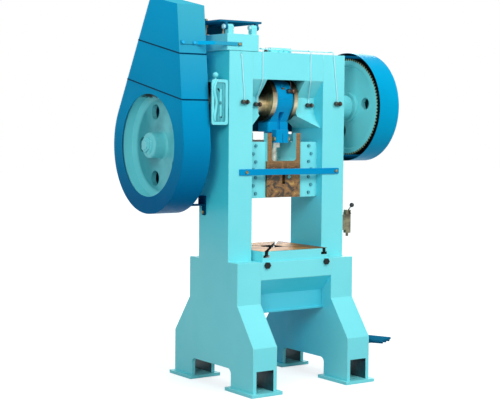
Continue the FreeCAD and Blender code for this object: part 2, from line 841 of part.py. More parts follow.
# ---------------------------------------------------------------- ram
def ram():
    body = block(-ram_half_width, ram_half_width, -ram_half_depth, ram_half_depth, ram_bottom, guide_top)
    for end in (-1, 1):
        y0 = min(end * ram_half_depth, end * (ram_half_depth - prong_depth))
        body = body.fuse(block(-ram_half_width, ram_half_width, y0, y0 + prong_depth, ram_bottom,
                               ram_top))
    tongue = block(-tongue_reach, tongue_reach, -tongue_half_depth, tongue_half_depth, ram_bottom + 8,
                   guide_top - 8)
    body = body.fuse(tongue)
    u_cut = [(-u_half_width, ram_floor, u_radius), (u_half_width, ram_floor, u_radius),
             (u_half_width, ram_top + 1), (-u_half_width, ram_top + 1)]
    body = cut(body, prism_y(u_cut, -ram_half_depth - 1, ram_half_depth + 1))
    body = cut(body, block(-pocket_half_width, pocket_half_width, -pocket_half_depth, pocket_half_depth,
                           pocket_floor, ram_floor + 1))
    body = cut(body, block(-cover_half_width, cover_half_width, -ram_half_depth - 1, ram_half_depth + 1,
                           cover_bottom, ram_floor + 1))
    body = cut(body, block(-knock_slot_half_width, knock_slot_half_width, -ram_half_depth - 1,
                           ram_half_depth + 1,
                           knock_slot_bottom, knock_slot_top))
    body = cut(body, round_z(shank_hole_radius, ram_bottom - 1, ram_bottom + shank_hole_depth, 0, 0))
    for place in cover_bolt_places():
        body = cut(body, round_z(cover_bolt_radius + hole_clearance, cover_bottom - 24, ram_floor,
                                 place.x, place.y))
    body = cut(body, bolt_hole(ram_screw_place, V(0, -1, 0), 20))
    return body.removeSplitter()


def cover_bolt_places():
    return [V(x, y, ram_floor) for x in (-cover_bolt_x, cover_bolt_x) for y in (-cover_bolt_y,
                                                                                cover_bolt_y)]


def ball_cover():
    """Slotted plate let into the floor of the U; the slot leaves the ball room over the whole stroke."""
    cover = block(-cover_half_width, cover_half_width, -ram_half_depth + 1, ram_half_depth - 1,
                  cover_bottom, ram_floor)
    slot = rectangle(-pocket_half_width, pocket_half_width, -pocket_half_depth, pocket_half_depth, 30.0)
    cover = cut(cover, prism_z(slot, cover_bottom - 1, ram_floor + 1))
    for place in cover_bolt_places():
        cover = cut(cover, round_z(cover_bolt_radius + hole_clearance, cover_bottom - 1, ram_floor + 1,
                                   place.x, place.y))
        cover = cut(cover, round_z(cover_head_radius + hole_clearance, ram_floor - cover_head,
                                   ram_floor + 1,
                                   place.x, place.y))
    return cover


def cover_screw(place):
    """Socket-head screw sunk flush into the cover."""
    head = round_z(cover_head_radius, ram_floor - cover_head, ram_floor - 0.5, place.x, place.y)
    shank = round_z(cover_bolt_radius, cover_bottom - 22, ram_floor - cover_head, place.x, place.y)
    socket = hexagon(4.5, 6, V(place.x, place.y, ram_floor - 5), V(0, 0, 1))
    return cut(head.fuse(shank), socket)


ram_screw_place = V(ram_screw_x, -ram_half_depth, ram_bottom + ram_screw_rise)
parts["ram"] = ram()
parts["ball_cover"] = ball_cover()
parts["ram_bolts"] = Part.makeCompound(
    [cover_screw(place) for place in cover_bolt_places()] + [bolt(ram_screw_place, V(0, -1, 0), 20)])


# ---------------------------------------------------------------- connecting rod
cap_bolt_y = rod_eye_radius - cap_bolt_inset
cap_bolt_seat = pin_height + cap_seat_rise
rod_bore = pin_radius + running_clearance + rod_bush_wall


def rod_blank():
    """Round eye running down into a shoulder, seen along the crank."""
    eye = round_x(rod_eye_radius, -rod_half_width, rod_half_width, 0, pin_height)
    corner = (shoulder_half_depth, shoulder_bottom + shoulder_height - pin_height)
    touch = tangent_point(corner, rod_eye_radius, -1)
    neck = [(-touch[0], pin_height + touch[1]), (-corner[0], pin_height + corner[1]),
            (-corner[0], shoulder_bottom), (corner[0], shoulder_bottom),
            (corner[0], pin_height + corner[1]),
            (touch[0], pin_height + touch[1])]
    neck = prism_x(neck, -rod_half_width, rod_half_width)
    shoulder = block(-shoulder_half_width, shoulder_half_width, -shoulder_half_depth, shoulder_half_depth,
                     shoulder_bottom, shoulder_bottom + shoulder_height)
    corners = [e for e in shoulder.Edges if abs(e.CenterOfMass.x) > shoulder_half_width - 1
               and e.CenterOfMass.z > shoulder_bottom + 1]
    shoulder = shoulder.makeChamfer(8.0, corners)
    boss = round_z(rod_neck_radius, rod_bottom, shoulder_bottom, 0, 0)
    lugs = prism_z([(-lug_half_width, 0), (-lug_half_width, -lug_reach, 12),
                    (lug_half_width, -lug_reach, 12),
                    (lug_half_width, 0)], rod_bottom, shoulder_bottom + 14)
    return fuse(eye, neck, shoulder, boss, lugs)


def connecting_rod():
    rod = rod_blank()
    rod = cut(rod, round_x(rod_bore, -rod_half_width - 1, rod_half_width + 1, 0, pin_height))
    reach = rod_eye_radius + 10
    rod = cut(rod, block(-reach, reach, -reach, reach, pin_height, pin_height + reach))
    rod = cut(rod, round_z(screw_radius + thread_clearance, rod_bottom - 1, shoulder_bottom + 60, 0, 0))
    rod = cut(rod, block(-split_width / 2, split_width / 2, -lug_reach - 1, 0, rod_bottom - 1,
                         shoulder_bottom - 12))
    rod = cut(rod, round_x(clamp_bolt_radius + hole_clearance, -reach, reach, clamp_bolt_y, clamp_bolt_z))
    for end in (-1, 1):
        groove = [(-26, end * (rod_eye_radius + 5)), (26, end * (rod_eye_radius + 5)),
                  (10, end * (shoulder_half_depth - 12)), (-10, end * (shoulder_half_depth - 12))]
        rod = cut(rod, prism_z(groove, shoulder_bottom + 14, pin_height - rod_bore - 14))
        rod = cut(rod, round_z(cap_bolt_radius + hole_clearance, pin_height - cap_bolt_grip - 2,
                               pin_height + 1, 0, end * cap_bolt_y))
    return rod


def rod_cap():
    cap = round_x(rod_eye_radius, -rod_half_width, rod_half_width, 0, pin_height)
    cap = cut(cap, round_x(rod_bore, -rod_half_width - 1, rod_half_width + 1, 0, pin_height))
    reach = rod_eye_radius + 10
    cap = cut(cap, block(-reach, reach, -reach, reach, pin_height - reach, pin_height + 0.5))
    for end in (-1, 1):
        cap = cut(cap, round_z(cap_bolt_radius + hole_clearance, pin_height, pin_height + reach, 0,
                               end * cap_bolt_y))
        cap = cut(cap, round_z(cap_bolt_radius * 1.9, cap_bolt_seat, pin_height + reach, 0,
                               end * cap_bolt_y))
    cap = cut(cap, bolt_hole(rod_fitting_place, V(0, -1, 0), 16, 4.0))
    return cap


clamp_bolt_y = clamp_bolt_inset - lug_reach
clamp_bolt_z = rod_bottom + clamp_bolt_rise
rod_fitting_place = V(rod_fitting_x,
                      -math.sqrt(rod_eye_radius ** 2 - (rod_fitting_rise - rod_fitting_radius) ** 2),
                      pin_height + rod_fitting_rise)


def rod_bush():
    outer = round_x(rod_bore, -rod_half_width, rod_half_width, 0, pin_height)
    return cut(outer, round_x(pin_radius + running_clearance, -rod_half_width - 1, rod_half_width + 1, 0,
                              pin_height))


def adjusting_screw():
    shank = round_z(screw_radius, ball_height, shoulder_bottom + 40, 0, 0)
    ball = Part.makeSphere(ball_radius, V(0, 0, ball_height))
    return fuse(shank, ball)


def lock_nut():
    nut = hexagon(lock_nut_radius, lock_nut_height, V(0, 0, rod_bottom - lock_nut_height), V(0, 0, 1))
    return cut(nut, round_z(screw_radius + thread_clearance, rod_bottom - lock_nut_height - 1,
                            rod_bottom + 1, 0, 0))


def clamp_bolt():
    shank = round_x(clamp_bolt_radius, -lug_half_width, lug_half_width + 14, clamp_bolt_y, clamp_bolt_z)
    head = hexagon(nut_radius, nut_height, V(-lug_half_width, clamp_bolt_y, clamp_bolt_z), V(-1, 0, 0))
    nut = hexagon(nut_radius, nut_height, V(lug_half_width, clamp_bolt_y, clamp_bolt_z), V(1, 0, 0))
    return fuse(shank, head, nut)


def cap_bolts():
    bolts = []
    for end in (-1, 1):
        seat = V(0, end * cap_bolt_y, cap_bolt_seat)
        head = hexagon(cap_bolt_radius * 1.75, 12, seat, V(0, 0, 1))
        shank = round_z(cap_bolt_radius, pin_height - cap_bolt_grip, cap_bolt_seat, 0, end * cap_bolt_y)
        bolts.append(head.fuse(shank))
    return Part.makeCompound(bolts)


def rod_fitting():
    """Oil fitting on the big end with its short pipe."""
    x = rod_fitting_place.x
    y = rod_fitting_place.y
    z = rod_fitting_place.z
    stem = round_y(4.0, y, y + 15, x, z)
    body = hexagon(rod_fitting_radius, 13, V(x, y, z), V(0, -1, 0))
    pipe = round_z(3.0, z, pin_height + rod_pipe_rise, x, y - 7)
    return fuse(stem, body, pipe)


parts["connecting_rod"] = connecting_rod()
parts["rod_cap"] = rod_cap()
parts["rod_cap_bolts"] = cap_bolts()
parts["rod_bush"] = rod_bush()
parts["adjusting_screw"] = adjusting_screw()
parts["lock_nut"] = lock_nut()
parts["clamp_bolt"] = clamp_bolt()
parts["rod_oil_fitting"] = rod_fitting()


# ---------------------------------------------------------------- crankshaft


def crankshaft():
    left_web_x = pin_half + left_web
    right_web_x = pin_half + right_web
    shaft = round_x(journal_radius, -crank_left_end, -left_web_x, 0, crank_height)
    shaft = shaft.fuse(round_x(journal_radius, right_web_x, crank_right_end, 0, crank_height))
    shaft = shaft.fuse(round_x(collar_radius, -boss_left_end + end_play, -left_web_x, 0, crank_height))
    shaft = shaft.fuse(round_x(collar_radius, right_web_x, boss_right_end - end_play, 0, crank_height))
    shaft = shaft.fuse(round_x(web_radius, -left_web_x, -pin_half, 0, pin_height))
    shaft = shaft.fuse(round_x(web_radius, pin_half, right_web_x, 0, pin_height))
    shaft = shaft.fuse(round_x(pin_radius, -pin_half, pin_half, 0, pin_height))
    return shaft.removeSplitter()


def collar_part(outer, x0, x1):
    ring = round_x(outer, x0, x1, 0, crank_height)
    return cut(ring, round_x(journal_radius, x0 - 1, x1 + 1, 0, crank_height))


def clutch_sleeve():
    sleeve = collar_part(clutch_radius, clutch_left, clutch_right)
    slot = block(clutch_left + 20, clutch_left + 50, -16, 16, crank_height - clutch_radius - 1,
                 crank_height - clutch_radius + 12)
    return cut(sleeve, slot)


def crank_end_plate():
    end = crank_right_end + end_disc_thickness
    plate = round_x(end_plate_radius, gear_right + end_play, crank_right_end, 0, crank_height)
    plate = cut(plate, round_x(journal_radius, gear_right, crank_right_end, 0, crank_height))
    disc = round_x(end_plate_radius, crank_right_end, end, 0, crank_height)
    solid = fuse(plate, disc)
    for y, z in ring_places(3, journal_radius - 17, 0, crank_height, 30.0):
        solid = solid.fuse(hexagon(11, 8, V(end, y, z), V(1, 0, 0)))
    return solid.removeSplitter()


def brake_drum():
    profile = [(-drum_left, journal_radius), (-drum_right, journal_radius), (-drum_right, drum_radius),
               (-drum_left, drum_radius), (-drum_left, drum_radius - drum_rim),
               (-drum_left + drum_recess, drum_radius - drum_rim),
               (-drum_left + drum_recess, drum_hub_radius), (-drum_left, drum_hub_radius)]
    return turned_x(profile, 0, crank_height)


parts["crankshaft"] = crankshaft()
parts["clutch_sleeve"] = clutch_sleeve()
parts["crank_end_plate"] = crank_end_plate()
parts["brake_drum"] = brake_drum()


# ---------------------------------------------------------------- gears
def involute_flank(pitch_radius, base_radius, tip_radius, root_radius, half_angle):
    """Three points on one flank, as (radius, angle from the tooth's middle), root to tip."""
    pitch_roll = math.sqrt((pitch_radius / base_radius) ** 2 - 1)
    pitch_inv = pitch_roll - math.atan(pitch_roll)
    low = max(base_radius, root_radius)
    flank = []
    for share in (0.0, 0.5, 1.0):
        radius = low + (tip_radius - low) * share
        roll = math.sqrt(max((radius / base_radius) ** 2 - 1, 0.0))
        flank.append((radius, half_angle + pitch_inv - (roll - math.atan(roll))))
    return flank


def gear_blank(teeth, x0, width, first_angle):
    """Toothed disc about the X axis, with one tooth's middle at first_angle."""
    pitch_radius = gear_module * teeth / 2
    base_radius = pitch_radius * math.cos(math.radians(pressure_angle))
    tip_radius = pitch_radius + gear_module
    root_radius = pitch_radius - 1.25 * gear_module
    half_angle = math.pi / (2 * teeth) - tooth_backlash / pitch_radius
    flank = involute_flank(pitch_radius, base_radius, tip_radius, root_radius, half_angle)

    def on(radius, angle):
        return V(x0, radius * math.cos(angle), radius * math.sin(angle))

    edges = []
    step = 2 * math.pi / teeth
    for k in range(teeth):
        middle = first_angle + k * step
        rising = [on(r, middle - a) for r, a in flank]
        falling = [on(r, middle + a) for r, a in reversed(flank)]
        root_angle = flank[0][1]
        root_rise = on(root_radius, middle - root_angle)
        root_fall = on(root_radius, middle + root_angle)
        next_root = on(root_radius, middle + step - root_angle)
        if (rising[0] - root_rise).Length > 1e-6:
            edges.append(Part.LineSegment(root_rise, rising[0]).toShape())
        edges.append(Part.Arc(*rising).toShape())
        edges.append(Part.LineSegment(rising[2], falling[0]).toShape())
        edges.append(Part.Arc(*falling).toShape())
        if (falling[2] - root_fall).Length > 1e-6:
            edges.append(Part.LineSegment(falling[2], root_fall).toShape())
        edges.append(Part.LineSegment(root_fall, next_root).toShape())
    return Part.Face(Part.Wire(edges)).extrude(V(width, 0, 0))


mesh_angle = math.atan2(back_z - crank_height, back_y)
gear_root_radius = gear_pitch_radius - 1.25 * gear_module
gear_bore = journal_radius + running_clearance + gear_bush_wall


def crank_gear():
    blank = gear_blank(gear_teeth, gear_left, gear_face, mesh_angle)
    blank.translate(V(0, 0, crank_height))
    rim_inside = gear_root_radius - gear_rim
    web_left = gear_left + gear_web_setback
    web_right = web_left + gear_web
    left_recess = [(gear_left - 1, gear_hub_radius), (web_left, gear_hub_radius),
                   (web_left, rim_inside - 8),
                   (gear_left - 1, rim_inside)]
    right_recess = [(web_right, gear_hub_radius), (gear_right + 1, gear_hub_radius),
                    (gear_right + 1, rim_inside),
                    (web_right, rim_inside - 8)]
    solid = cut(blank, turned_x(left_recess, 0, crank_height), turned_x(right_recess, 0, crank_height))
    nose = [(gear_left - 8, gear_hub_step), (gear_left - 8, gear_bore), (gear_left, gear_bore),
            (gear_left, gear_hub_step + 10)]
    solid = solid.fuse(turned_x(nose, 0, crank_height))
    solid = cut(solid, round_x(gear_bore, gear_left - 20, gear_right + 1, 0, crank_height))
    for y, z in ring_places(gear_hole_count, gear_hole_circle, 0, crank_height, 173.0):
        solid = cut(solid, round_x(gear_hole_radius, web_left - 1, web_right + 1, y, z))
    return solid.removeSplitter()


def pinion():
    blank = gear_blank(pinion_teeth, gear_left - pinion_extra / 2, gear_face + pinion_extra,
                       mesh_angle + math.pi + math.pi / pinion_teeth)
    blank.translate(V(0, back_y, back_z))
    return cut(blank, round_x(back_shaft_radius, gear_left - 50, gear_right + 50, back_y, back_z))


def gear_bush():
    outer = round_x(gear_bore, gear_left - 8, gear_right, 0, crank_height)
    return cut(outer, round_x(journal_radius + running_clearance, gear_left - 20, gear_right + 1, 0,
                              crank_height))


parts["crank_gear"] = crank_gear()
parts["gear_bush"] = gear_bush()
parts["pinion"] = pinion()


# ---------------------------------------------------------------- back shaft and flywheel
def back_shaft():
    profile_left = -flywheel_hub_left
    profile_right = gear_right + pinion_extra / 2 + 4
    shaft = round_x(back_shaft_radius, profile_left, profile_right, back_y, back_z)
    stub = round_x(stub_radius, profile_left - flywheel_nut_height - 6, profile_left, back_y, back_z)
    return fuse(shaft, stub)


def flywheel_nut():
    left = -flywheel_hub_left - flywheel_nut_height
    washer = round_x(flywheel_nut_radius + 8, -flywheel_hub_left - 5, -flywheel_hub_left, back_y, back_z)
    nut = hexagon(flywheel_nut_radius, flywheel_nut_height - 5, V(left, back_y, back_z), V(1, 0, 0))
    return cut(fuse(washer, nut), round_x(stub_radius, left - 1, -flywheel_hub_left + 1, back_y, back_z))


def flywheel():
    left = -flywheel_left
    right = -flywheel_left + flywheel_width
    web_left = left + flywheel_web_setback
    web_right = web_left + flywheel_web
    profile = [
        (left, flywheel_radius), (left, rim_inner_radius), (web_left - 18, rim_inner_radius - 4),
        (web_left, web_outer_radius), (web_left, flywheel_hub_radius + 6, 6),
        (web_left - 12, flywheel_hub_radius),
        (-flywheel_hub_left, flywheel_hub_radius, 16), (-flywheel_hub_left, back_shaft_radius),
        (-flywheel_hub_right, back_shaft_radius), (-flywheel_hub_right, flywheel_hub_radius),
        (web_right, flywheel_hub_radius), (web_right, web_outer_radius + 12), (right, rim_inner_radius),
        (right, flywheel_radius),
    ]
    wheel = turned_x(profile, back_y, back_z)
    for y, z in ring_places(flywheel_hole_count, flywheel_hole_circle, back_y, back_z):
        wheel = cut(wheel, round_x(flywheel_hole_radius, web_left - 1, web_right + 1, y, z))
    return wheel


def back_bearing(side):
    middle = side * (half_width - upright_width / 2)
    x0 = middle - back_block_width / 2
    boss0 = x0 + back_boss_inset
    boss1 = x0 + back_block_width - back_boss_inset
    body = round_x(back_block_radius, boss0, boss1, back_y, back_z)
    body = body.fuse(block(boss0, boss1, half_pillar, back_y, back_z - back_block_radius,
                           back_z + back_block_radius))
    flange = prism_y(rectangle(x0, x0 + back_block_width, back_z - back_flange_height / 2,
                               back_z + back_flange_height / 2, 12), half_pillar,
                               half_pillar + back_flange_thickness)
    solid = fuse(body, flange)
    solid = cut(solid, round_x(back_shaft_radius + running_clearance + back_bush_wall, x0,
                               x0 + back_block_width,
                               back_y, back_z))
    for place in back_bracket_bolts(side):
        solid = cut(solid, bolt_hole(place, V(0, 1, 0), 60))
    return solid


def back_bush(side):
    middle = side * (half_width - upright_width / 2)
    x0 = middle - back_block_width / 2 + back_boss_inset
    x1 = middle + back_block_width / 2 - back_boss_inset
    outer = round_x(back_shaft_radius + running_clearance + back_bush_wall, x0, x1, back_y, back_z)
    return cut(outer, round_x(back_shaft_radius + running_clearance, x0 - 1, x1 + 1, back_y, back_z))


parts["back_shaft"] = back_shaft()
parts["flywheel"] = flywheel()
parts["flywheel_nut"] = flywheel_nut()
parts["back_bearing_brackets"] = Part.makeCompound([back_bearing(-1), back_bearing(1)])
parts["back_bearing_bushes"] = Part.makeCompound([back_bush(-1), back_bush(1)])


# ---------------------------------------------------------------- belt guard
lean = math.radians(belt_guard_lean)


def guard_point(across, along):
    """(y, z) of a point in the guard's own directions, measured from the flywheel's centre."""
    return (back_y + across * math.cos(lean) - along * math.sin(lean),
            back_z + across * math.sin(lean) + along * math.cos(lean))


def guard_prism(inset, x0, x1):
    """Teardrop prism: a circle about the flywheel with straight sides up to a flat top."""
    radius = belt_guard_radius - inset
    side_angle = math.atan2(belt_guard_reach, belt_guard_top_half) - math.acos(
        belt_guard_radius / math.hypot(belt_guard_top_half, belt_guard_reach))
    top = belt_guard_reach - inset
    top_half = (radius - top * math.sin(side_angle)) / math.cos(side_angle)
    touch = tangent_point((top_half, top), radius, 1)

    def on(across, along):
        y, z = guard_point(across, along)
        return V(x0, y, z)

    edges = [
        Part.LineSegment(on(top_half, top), on(*touch)).toShape(),
        Part.Arc(on(*touch), on(0, -radius), on(-touch[0], touch[1])).toShape(),
        Part.LineSegment(on(-touch[0], touch[1]), on(-top_half, top)).toShape(),
        Part.LineSegment(on(-top_half, top), on(top_half, top)).toShape(),
    ]
    return Part.Face(Part.Wire(edges)).extrude(V(x1 - x0, 0, 0))


def belt_guard_cover():
    outer = guard_prism(0, -belt_guard_outer, -belt_guard_inner)
    hollow = guard_prism(sheet, -belt_guard_outer + sheet, -belt_guard_inner + 1)
    cover = cut(outer, hollow)
    window = round_x(guard_window_radius, -belt_guard_outer - 20, -belt_guard_outer + 20, back_y, back_z)
    cover = cut(cover, window)
    for along in (guard_seam_low, guard_seam_high):
        band_x0 = -belt_guard_outer - seam_proud
        strip = guard_prism(-seam_proud, band_x0, -belt_guard_inner)
        strip = cut(strip, guard_prism(0, band_x0 - 1, -belt_guard_inner + 1).common(
            block(-belt_guard_outer, 0, back_y - 2 * belt_guard_reach, back_y + 2 * belt_guard_reach,
                  back_z - 2 * belt_guard_reach, back_z + 2 * belt_guard_reach)))
        low = guard_point(0, along - seam_width / 2)
        slab = Part.makeBox(-band_x0 + 1, 4 * belt_guard_radius, seam_width,
                            V(band_x0 - 1, -2 * belt_guard_radius, 0))
        slab.rotate(V(0, 0, 0), V(1, 0, 0), belt_guard_lean)
        slab.translate(V(0, low[0], low[1]))
        cover = cover.fuse(strip.common(slab))
    return cover.removeSplitter()


def belt_guard_back():
    plate = guard_prism(sheet + 0.3, -belt_guard_inner - sheet, -belt_guard_inner)
    plate = cut(plate, round_x(back_shaft_radius + 20, -belt_guard_inner - 20, -belt_guard_inner + 20,
                               back_y, back_z))
    for place in guard_bracket_bolt_places():
        plate = cut(plate, bolt_hole(place, V(-1, 0, 0), 12))
    return plate


def guard_bracket_bolt_places():
    return [V(-belt_guard_inner - sheet, guard_bracket_front + inset, z)
            for inset in guard_bolt_insets for z in guard_bracket_heights]


def guard_brackets():
    """Two channel brackets from the left upright's side to the guard's inner plate."""
    brackets = []
    wall = bracket_wall
    for z in guard_bracket_heights:
        low = z - guard_bracket_half
        high = z + guard_bracket_half
        outer = block(-belt_guard_inner, -half_width, guard_bracket_front, half_pillar, low, high)
        inner = block(-belt_guard_inner + wall, -half_width - wall, guard_bracket_front - 1,
                      half_pillar + 1, low + wall, high + 1)
        solid = cut(outer, inner)
        if z == guard_bracket_heights[0]:
            tab = rectangle(guard_bracket_front, guard_bracket_front + guard_tab_width,
                            z - guard_tab_drop, z, 8.0)
            solid = fuse(solid, prism_x(tab, -half_width - wall, -half_width))
        for place in guard_bracket_bolt_places() + guard_foot_bolt_places():
            solid = cut(solid, bolt_hole(place, V(-1, 0, 0), 12))
        brackets.append(solid)
    return brackets


def guard_foot_bolts():
    return [bolt(place, V(-1, 0, 0), 30) for place in guard_foot_bolt_places()]


strap_y = -half_pillar - block_proud
strap_height = frame_top + strap_rise
strap_block_bolt = -(block_left - strap_bolt_on_block)


def guard_front_y(z):
    """Front face of the belt guard at a height."""
    side_angle = math.atan2(belt_guard_reach, belt_guard_top_half) - math.acos(
        belt_guard_radius / math.hypot(belt_guard_top_half, belt_guard_reach))
    slope = math.tan(side_angle - lean)
    touch = guard_point(-belt_guard_radius * math.cos(side_angle),
                        belt_guard_radius * math.sin(side_angle))
    return touch[0] + (z - touch[1]) * slope


def guard_strap():
    """Flat strap from the belt guard's front face to the motor block, with one joggle."""
    front = guard_front_y(strap_height)
    reach = guard_front_y(strap_height - strap_half) - 0.3
    t = strap_thickness
    end = strap_end_inset - belt_guard_outer
    bend = -belt_guard_inner - strap_bend_outer
    second = -belt_guard_inner + strap_bend_inner
    last = -block_left + strap_on_block
    path = [(end, reach), (bend, reach), (second, strap_y), (last, strap_y),
            (last, strap_y - t), (second - 2, strap_y - t), (bend - 2, reach - t), (end, reach - t)]
    strap = prism_z(path, strap_height - strap_half, strap_height + strap_half)
    for place in strap_bolt_places():
        strap = cut(strap, bolt_hole(place, V(0, -1, 0), 26))
    return strap


def strap_bolt_places():
    reach = guard_front_y(strap_height - strap_half) - 0.3 - strap_thickness
    places = [V(inset - belt_guard_outer, reach, strap_height) for inset in strap_bolt_insets]
    places.append(V(strap_block_bolt, strap_y - strap_thickness, strap_height))
    return places


def strap_bolts():
    lengths = (5.0, 5.0, 24.0)
    return [bolt(place, V(0, -1, 0), length) for place, length in zip(strap_bolt_places(), lengths)]


parts["belt_guard_cover"] = belt_guard_cover()
parts["belt_guard_back"] = belt_guard_back()
parts["guard_strap"] = guard_strap()


# ---------------------------------------------------------------- gear guard
def gear_guard():
    first = (0, crank_height)
    second = (back_y, back_z)
    outer = two_circle_prism(first, gear_guard_radius, second, pinion_guard_radius, gear_guard_left,
                             gear_guard_right)
    hollow = two_circle_prism(first, gear_guard_radius - sheet, second, pinion_guard_radius - sheet,
                              gear_guard_left - 1, gear_guard_right - sheet)
    return cut(outer, hollow)


def gear_guard_brackets():
    """Four flat arms from the right upright's side to the inside of the drum."""
    arms = []
    top_radius = gear_guard_radius - sheet
    for angle in (-bracket_angle, bracket_angle, 180 - bracket_angle, 180 + bracket_angle):
        arm = block(half_width, gear_guard_left + 30, -16, 16, top_radius - 10, top_radius - 2)
        foot = block(half_width, half_width + 8, -16, 16, top_radius - 60, top_radius - 10)
        arm = fuse(arm, foot)
        tip = block(gear_guard_left, gear_guard_left + 30, -16, 16, top_radius - 3, top_radius - 0.6)
        arm = fuse(arm, tip)
        arm.rotate(V(0, 0, 0), V(1, 0, 0), angle)
        arm.translate(V(0, 0, crank_height))
        arms.append(arm)
    return arms


parts["gear_guard"] = gear_guard()
parts["guard_brackets"] = Part.makeCompound(guard_brackets() + gear_guard_brackets())


# ---------------------------------------------------------------- motor seat
def lug_blank(x, y_half, base, height):
    """Rounded lug round the hinge line, standing on the base height."""
    lug = block(x - lug_width / 2, x + lug_width / 2, hinge_y - y_half, hinge_y + y_half, base, height)
    top = round_x(y_half, x - lug_width / 2, x + lug_width / 2, hinge_y, height)
    return fuse(lug, top)


def motor_block():
    front = -half_pillar - block_proud
    body = block(-block_left, -block_right, front, half_pillar, frame_top, block_top)
    for x in (left_lug_x, right_lug_x):
        body = body.fuse(lug_blank(x, 18.0, block_top - 1, hinge_height))
        body = cut(body, round_x(hinge_pin_radius + pedal_hole_clearance, x - 30, x + 30, hinge_y,
                                 hinge_height))
    for x in stud_places:
        body = cut(body, round_z(stud_radius + hole_clearance, block_top - 40, block_top + 1, x, stud_y))
    body = cut(body, bolt_hole(V(strap_block_bolt, front, strap_height), V(0, -1, 0), 18))
    return body.removeSplitter()


stud_places = (left_stud_inset - block_left, -block_right - right_stud_inset)
plate_lug_gap = 0.5
plate_lug = 16.0
hinge_ears = (left_lug_x - lug_width / 2 - plate_lug_gap - plate_lug,
              right_lug_x + lug_width / 2 + plate_lug_gap)


def motor_plate():
    plate = prism_z(rectangle(-plate_left, -plate_right, -plate_front, plate_back, 8.0),
                    plate_top - plate_thickness, plate_top)
    rib_bottom = plate_top - plate_thickness - plate_rib
    plate = fuse(plate, block(-plate_left + 10, -plate_right - 10, plate_back - plate_rib_width - 2,
                              plate_back - 2, rib_bottom, plate_top - plate_thickness + 1))
    for x0 in hinge_ears:
        lug = block(x0, x0 + plate_lug, hinge_y - 10, hinge_y + 16, hinge_height,
                    plate_top - plate_thickness)
        lug = fuse(lug, round_x(16.0, x0, x0 + plate_lug, hinge_y, hinge_height))
        plate = plate.fuse(lug)
        plate = cut(plate, round_x(hinge_pin_radius + pedal_hole_clearance, x0 - 1, x0 + plate_lug + 1,
                                   hinge_y, hinge_height))
    middle_x = -(plate_left + plate_right) / 2
    for dx in (-motor_hole_x / 2, motor_hole_x / 2):
        for dy in (-motor_hole_y / 2, motor_hole_y / 2):
            hole = round_z(motor_hole_radius, plate_top - 20, plate_top + 1, middle_x + dx, dy)
            plate = cut(plate, hole)
    for x in stud_places:
        slot = rectangle(x - stud_radius - 2, x + stud_radius + 2, stud_y - 22, stud_y + 16, stud_radius)
        plate = cut(plate, prism_z(slot, plate_top - 20, plate_top + 1))
    return plate.removeSplitter()


def hinge_pins():
    pins = []
    for x, ear in zip((left_lug_x, right_lug_x), hinge_ears):
        x0 = min(x - lug_width / 2, ear)
        x1 = max(x + lug_width / 2, ear + plate_lug) + 1
        shank = round_x(hinge_pin_radius, x0 - 14, x1 + 8, hinge_y, hinge_height)
        head = hexagon(nut_radius, nut_height, V(x0 - nut_height, hinge_y, hinge_height), V(1, 0, 0))
        pins.append(fuse(shank, head))
    return Part.makeCompound(pins)


def plate_studs():
    """Two upright studs behind the hinge, each with a nut under the plate and one near its top."""
    studs = []
    for x in stud_places:
        stud = round_z(stud_radius, block_top - 38, stud_top, x, stud_y)
        foot_nut = hexagon(nut_radius, nut_height, V(x, stud_y, block_top), V(0, 0, 1))
        low_nut = hexagon(17, 14, V(x, stud_y, plate_top - plate_thickness - 14.3), V(0, 0, 1))
        high_nut = hexagon(nut_radius, 10, V(x, stud_y, stud_top - 13.5), V(0, 0, 1))
        studs.append(fuse(stud, foot_nut, low_nut, high_nut))
    return Part.makeCompound(studs)


parts["motor_block"] = motor_block()
parts["motor_plate"] = motor_plate()
parts["hinge_pins"] = hinge_pins()
parts["plate_studs"] = plate_studs()


# ---------------------------------------------------------------- safety bar
def safety_bar():
    front = -half_pillar - bar_thickness
    bar = prism_y(rectangle(-bar_left, bar_right, bar_middle - bar_height / 2,
                            bar_middle + bar_height / 2, 5.0),
                  front, -half_pillar)
    for x, z in bar_bolts:
        bar = cut(bar, bolt_hole(V(x, front, z), V(0, -1, 0), 30))
    return bar


parts["safety_bar"] = safety_bar()
parts["frame_bolts"] = Part.makeCompound(
    bed_bolts() + strap_bolts() + guard_foot_bolts()
    + [bolt(V(x, -half_pillar - bar_thickness, z), V(0, -1, 0), 30) for x, z in bar_bolts]
    + [bolt(place, V(0, 1, 0), 60) for side in (-1, 1) for place in back_bracket_bolts(side)])


# ---------------------------------------------------------------- brake
band_x = -(drum_left + drum_right) / 2
band_inner = drum_radius + brake_gap
band_outer = band_inner + lining + band
lug_hole_y = band_outer + band_lug_hole


